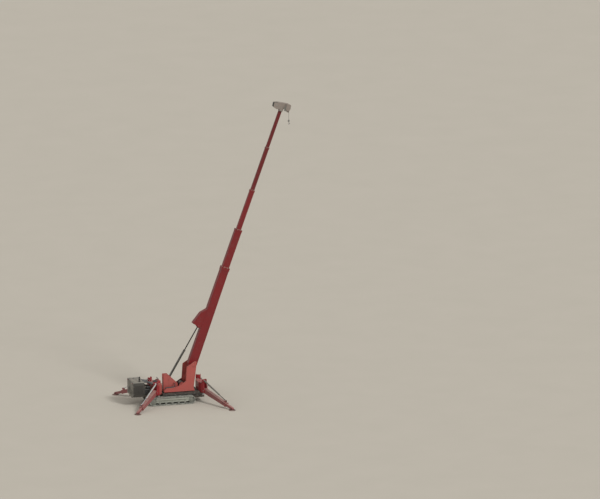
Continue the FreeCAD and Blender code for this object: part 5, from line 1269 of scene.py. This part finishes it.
def make_sheave(name, body, node, spot):
    wheel, hole_shade = Shell(BOOM), Shell(BOOM)
    spot = Vector(spot)
    outline = ((-1, 0.150), (-0.6, 0.149), (-0.25, 0.130), (0.25, 0.130), (0.6, 0.149), (1, 0.150), (1, 0.118),
               (0.35, 0.110), (0.35, 0.052), (1, 0.046), (1, 0.0262), (-1, 0.0262), (-1, 0.046), (-0.35, 0.052),
               (-0.35, 0.110), (-1, 0.118))
    rings = []
    for share, radius in outline:
        around = [Vector((radius * math.cos(angle), share * SHEAVE_HALF, radius * math.sin(angle)))
                  for angle in angles(SHEAVE_SIDES)]
        rings.append([wheel.mesh.verts.new(spot + offset) for offset in around])
    wheel.join(rings, closed=True)
    wheel.close(name + "_wheel", body, "sheave_grey", SHEAVE_GREY, (node,))
    # Dark discs on the web stand in for holes: painted shade, with no hole cut.
    web = Vector((0, SHEAVE_HALF * 0.37, 0))
    for step in range(SHEAVE_HOLES):
        angle = 2 * math.pi / SHEAVE_HOLES * step
        place = spot + Vector((HOLE_RING * math.cos(angle), 0, HOLE_RING * math.sin(angle)))
        hole_shade.rod(place - web, place + web, 0.019, 16)
    hole_shade.close(name + "_painted_hole_shade", body, "sheave_grey", HEAD_DARK, (node,))


make_sheave("fall_sheave", "fall_wheel", "fall_sheave", (16.140, -0.280, -0.240))
make_sheave("guide_sheave", "guide_wheel", "guide_sheave", (16.165, 0.0, 0.370))


# Hook block: a weight on its rope, collars, and a forged hook with its latch

ROPE_X, ROPE_Y, FALL_Z, BLOCK_TOP, BLOCK_LOW = 6.7337, -0.280, 17.3046, 16.6546, 16.5246
line, weight, collar = Shell(), Shell(), Shell()
line.rod((ROPE_X, ROPE_Y, BLOCK_TOP + 0.01), (ROPE_X, ROPE_Y, FALL_Z), 0.0085, 14)
weight.turned(((0, 0.030), (0.08, 0.050), (0.2, 0.0595), (0.42, 0.0595), (0.62, 0.050), (0.82, 0.032), (1, 0.020)),
              (ROPE_X, ROPE_Y, BLOCK_LOW + 0.004), (ROPE_X, ROPE_Y, BLOCK_TOP - 0.01), 36)
collar.rod((ROPE_X, ROPE_Y, BLOCK_TOP - 0.012), (ROPE_X, ROPE_Y, BLOCK_TOP + 0.06), 0.015, 18, 0.004)
collar.rod((ROPE_X, ROPE_Y, BLOCK_LOW), (ROPE_X, ROPE_Y, BLOCK_LOW + 0.008), 0.036, 24, 0.002)
line.close("hook_rope", "hook_fall", "hook_steel", ROPE, ("hook_block",))
weight.close("hook_weight", "hook_fall", "hook_steel", HOOK_WEIGHT, ("hook_block",))
collar.close("hook_collar", "hook_fall", "rod_chrome", PIN_STEEL, ("hook_block",))


BOWL_RADIUS, BOWL_STEPS, BOWL_SWEEP, HOOK_SIDES = 0.046, 26, math.radians(262), 16


def forged_hook():
    """The hook's bar: round its bowl from the shank to a thin tip, thickest at the bottom."""
    shell, latch = Shell(), Shell()
    top = Vector((ROPE_X, ROPE_Y, BLOCK_LOW - 0.001))
    middle = top - raised(0.055 + BOWL_RADIUS)
    bar = [(top - raised(drop), thick, wide) for drop, thick, wide in (
        (0.0, 0.0125, 0.0125), (0.03, 0.0125, 0.0125), (0.05, 0.0128, 0.012))]
    for step in range(1, BOWL_STEPS + 1):
        share = step / BOWL_STEPS
        thick = 0.0125 + 0.0023 * math.sin(math.pi * min(1.0, share * 1.25)) - 0.0055 * max(0.0, share - 0.7) / 0.3
        bar.append((middle + level(math.pi / 2 - BOWL_SWEEP * share) * BOWL_RADIUS, thick, min(0.0115, thick)))
    spots, rings = [spot for spot, _, _ in bar], []
    for index, (spot, thick, wide) in enumerate(bar):
        out = Vector((0, 1, 0)).cross(course(spots, index))
        around = [out * thick * math.cos(angle) + Vector((0, wide * math.sin(angle), 0))
                  for angle in angles(HOOK_SIDES)]
        rings.append([shell.mesh.verts.new(spot + offset) for offset in around])
    shell.join(rings)
    shell.close("hook_forging", "load_hook", "hook_steel", HOOK_STEEL, ("hook",))
    start, stop = [middle + level(math.radians(angle)) * 0.034 for angle in (96, 178)]
    latch.place = axes_at(start, stop - start, level(math.radians(137)))
    length = (stop - start).length
    latch.plate([(0, -0.002), (length, -0.002), (length, 0.001), (0, 0.003)], -0.008, 0.008)
    latch.rod((0.002, -0.0105, 0), (0.002, 0.0105, 0), 0.004, 12)
    latch.close("hook_latch", "load_hook", "rod_chrome", PIN_STEEL, ("hook",))


forged_hook()


# Outriggers: pin caps, keeper plates, stiffeners, cylinder glands and pipes, and the feet

for leg in OUTRIGGERS:
    key = leg.key
    pins, rims, bolts = [Shell(leg.swing) for _ in range(3)]
    toe = ROOT_OUT + 0.118
    line = [(ROOT_OUT + 0.085, leg.root_high - 0.118), (toe, leg.root_high - 0.06), (toe, leg.root_high + 0.03),
            (JACK_PIN_OUT + 0.074, leg.root_high + 0.26), (JACK_PIN_OUT + 0.054, leg.bracket_high - 0.01)]
    for sign in (-1, 1):
        side = Vector((0, sign, 0))
        rim_strip(rims, line, 0.0, 0.016, sign * BRACKET_SIDE, sign * 0.142)
        for spot, radius in ((Vector((ROOT_OUT, sign * BRACKET_SIDE, leg.root_high)), 0.052),
                             (Vector((JACK_PIN_OUT, sign * BRACKET_SIDE, leg.jack_high)), 0.036)):
            rims.turned(((0, radius), (1, radius)), spot, spot + side * 0.004, 26)
            pins.turned(((0, radius * 0.58), (0.7, radius * 0.58), (1, radius * 0.48)),
                        spot + side * 0.003, spot + side * 0.0165, 24)
            bolts.take(BOLT_RING.make(Count=3, Ring_Radius=radius * 0.8, Bolt_Radius=0.005, Bolt_Height=0.005,
                                      Finish=BOLT_ZINC),
                       squared(leg.swing, spot + side * 0.004, leg.swing.to_3x3() @ side))
    rims.block((0.1175, -leg.back_half, leg.pedestal_high - 0.055), (0.1295, leg.back_half, leg.bracket_high - 0.008),
               0.002)
    for z in (0.70, 0.82, 0.94):
        rims.turned(((0, 0.0845), (1, 0.0845)), (0, 0, z), (0, 0, z + 0.012), 30)
    pins.close(key + "pins", key + "swing", "rod_chrome", PIN_STEEL)
    rims.close(key + "rims", key + "swing", "leg_red", LEG_RED, bevel=0.0015)
    bolts.close(key + "keeper_bolts", key + "swing", "rod_chrome", BOLT_ZINC)

    end = SLEEVE_SHARE * leg.length
    skin, screws, grip = [Shell(leg.leg) for _ in range(3)]
    for sign in (-1, 1):
        limits = sign * LEG_SIDE, sign * (LEG_SIDE + 0.0055)
        rim_strip(skin, [(0.16, -0.128), (0.48, -0.128), (end - 0.07, -0.096)], 0.004, 0.020, *limits)
        rim_strip(skin, [(0.16, 0.128), (0.48, 0.128), (end - 0.07, 0.096)], -0.020, -0.004, *limits)
        spot = Vector((0, sign * LEG_SIDE, 0))
        skin.turned(((0, 0.062), (0.8, 0.062), (1, 0.056)), spot, spot + Vector((0, sign * 0.0055, 0)), 28)
        for shift in (-0.05, 0.05):
            screws.take(BOLT_ROW.make(Count=1, Pitch=0.05, Bolt_Radius=0.007, Bolt_Height=0.007, Finish=BOLT_ZINC),
                        squared(leg.leg, (end - 0.03, sign * 0.122, shift), leg.leg.to_3x3() @ Vector((0, sign, 0))))
    grip.pipe([(end - along, -out, 0.03) for along, out in ((0.30, 0.1095), (0.295, 0.125), (0.28, 0.130),
                                                            (0.17, 0.130), (0.155, 0.125), (0.15, 0.1095))], 0.007, 8)
    skin.close(key + "skin", key + "arm", "leg_red", LEG_DULL, bevel=0.0015)
    screws.close(key + "screws", key + "arm", "rod_chrome", BOLT_ZINC)
    grip.close(key + "grip", key + "arm", "leg_red", KNOB_BLACK)

    barrel_end = BARREL_SHARE * leg.jack_length
    gland, pipe = Shell(leg.jack), Shell(leg.jack)
    gland.turned(((0, 0.047), (0.2, 0.0495), (0.85, 0.0495), (0.9, 0.036), (1, 0.032)), (barrel_end - 0.055, 0, 0),
                 (barrel_end + 0.010, 0, 0), 28)
    for share in (0.16, 0.5, 0.84):
        s = barrel_end * share
        gland.turned(((0, 0.0455), (1, 0.0455)), (s - 0.01, 0, 0), (s + 0.01, 0, 0), 28)
        pipe.block((s - 0.010, -0.010, 0.042), (s + 0.010, 0.010, 0.062), 0.002)
    for s in (0.085, barrel_end - 0.13):
        pipe.block((s, -0.018, 0.040), (s + 0.04, 0.018, 0.056), 0.003)
    pipe.pipe([(0.11, 0, 0.054), (0.16, 0, 0.056), (barrel_end * 0.5, 0, 0.055), (barrel_end - 0.16, 0, 0.056),
               (barrel_end - 0.11, 0, 0.054)], 0.0055, 8)
    gland.close(key + "gland", key + "jack", "cylinder_silver", FINISH_OF[key + "cylinder"])
    pipe.close(key + "cylinder_pipe", key + "jack", "rod_chrome", PIN_STEEL)

    bar = Shell(leg.leg)
    bar.block((0.95, -0.068, -0.073), (leg.length, 0.068, 0.073), 0.008)
    bar.rod((leg.length, -0.068, 0), (leg.length, 0.068, 0), 0.073, 32, 0.006)
    bar.close(key + "sliding_leg", key + "slide", "leg_red", LEG_DULL, (key + "foot",))
    foot, ribs = Shell(leg.swing), Shell(leg.swing)
    spot = Vector((ROOT_OUT + leg.reach, 0, 0))
    foot.turned(((0, 0.203), (0.2, 0.205), (0.42, 0.205), (0.5, 0.198), (1, 0.112)),
                spot, spot + raised(0.030), 44)
    foot.turned(((0, 0.075), (0.4, 0.062), (1, 0.058)), spot + raised(0.028), spot + raised(0.062), 32)
    for step in range(8):
        angle = math.pi / 4 * step + math.pi / 8
        ribs.place = leg.swing @ axes_at(spot, (math.cos(angle), math.sin(angle), 0))
        ribs.plate([(0.055, 0.028), (0.195, 0.0165), (0.195, 0.020), (0.07, 0.062)], -0.004, 0.004)
    ribs.place = leg.swing
    for sign in (-1, 1):
        ribs.plate([(spot.x - 0.045, 0.03), (spot.x + 0.045, 0.03), (spot.x + 0.032, 0.105), (spot.x - 0.032, 0.105)],
                   sign * 0.069, sign * 0.077)
        ribs.turned(((0, 0.030), (0.8, 0.030), (1, 0.024)), (spot.x, sign * 0.077, 0.090),
                    (spot.x, sign * 0.089, 0.090), 20)
    foot.close(key + "pad", key + "slide", "leg_red", FOOT_DARK, (key + "foot",))
    ribs.close(key + "pad_ribs", key + "slide", "leg_red", FOOT_DARK, bevel=0.001)


# Floor, lamps and camera

floor = bpy.data.meshes.new("floor")
floor.from_pydata([(-400, -400, 0), (400, -400, 0), (400, 400, 0), (-400, 400, 0)], [], [(0, 1, 2, 3)])
floor = bpy.data.objects.new("floor", floor)
bpy.context.scene.collection.objects.link(floor)
net = Finish("floor_pale")
grain = net.noise(0.4, 3.0)
floor.data.materials.append(net.surface(net.mix(grain, rgb(0.47, 0.435, 0.375), rgb(0.44, 0.41, 0.35)), 0.9))

world = bpy.data.worlds.new("studio")
bpy.context.scene.world = world
world.use_nodes = True
world.node_tree.nodes.clear()
sky = Net(world.node_tree)
rays = sky.node("ShaderNodeLightPath", out="Is Camera Ray")
light = sky.node("ShaderNodeBackground", values={"Color": rgb(1.0, 0.98, 0.95), "Strength": 0.62})
backdrop = sky.node("ShaderNodeBackground", values={"Color": rgb(0.45, 0.415, 0.355), "Strength": 1.0})
mixed = sky.node("ShaderNodeMixShader", values={0: rays, 1: light, 2: backdrop})
sky.node("ShaderNodeOutputWorld", values={"Surface": mixed})


def lamp(name, direction, strength, angle):
    """A far, soft lamp that shines from a direction."""
    data = bpy.data.lights.new(name, "SUN")
    data.energy = strength
    data.angle = math.radians(angle)
    made = bpy.data.objects.new(name, data)
    bpy.context.scene.collection.objects.link(made)
    made.rotation_mode = "QUATERNION"
    made.rotation_quaternion = Vector(direction).to_track_quat("Z", "Y")
    made.location = Vector(direction) * 30


lamp("key", (0.42, -0.75, 0.72), 1.9, 14)
lamp("fill", (-0.8, -0.5, 0.5), 0.35, 40)

# The photograph looks from 16 degrees left of square and 14 degrees above level, through a long lens
PIXELS_PER_METRE, IMAGE_WIDTH, DISTANCE = 17.0, 600, 1200.0
turn, rise = math.radians(-16), math.radians(14)
back = Vector((math.sin(turn) * math.cos(rise), -math.cos(turn) * math.cos(rise), math.sin(rise)))
aim = Vector((7.500, 0.0, 8.670))
data = bpy.data.cameras.new("camera")
data.sensor_width = 36.0
data.lens = data.sensor_width * DISTANCE * PIXELS_PER_METRE / IMAGE_WIDTH
data.clip_end = 4000
camera = bpy.data.objects.new("camera", data)
bpy.context.scene.collection.objects.link(camera)
camera.location = aim + back * DISTANCE
camera.rotation_mode = "QUATERNION"
camera.rotation_quaternion = (-back).to_track_quat("-Z", "Y")
bpy.context.scene.camera = camera
bpy.context.scene.view_settings.view_transform = "Standard"
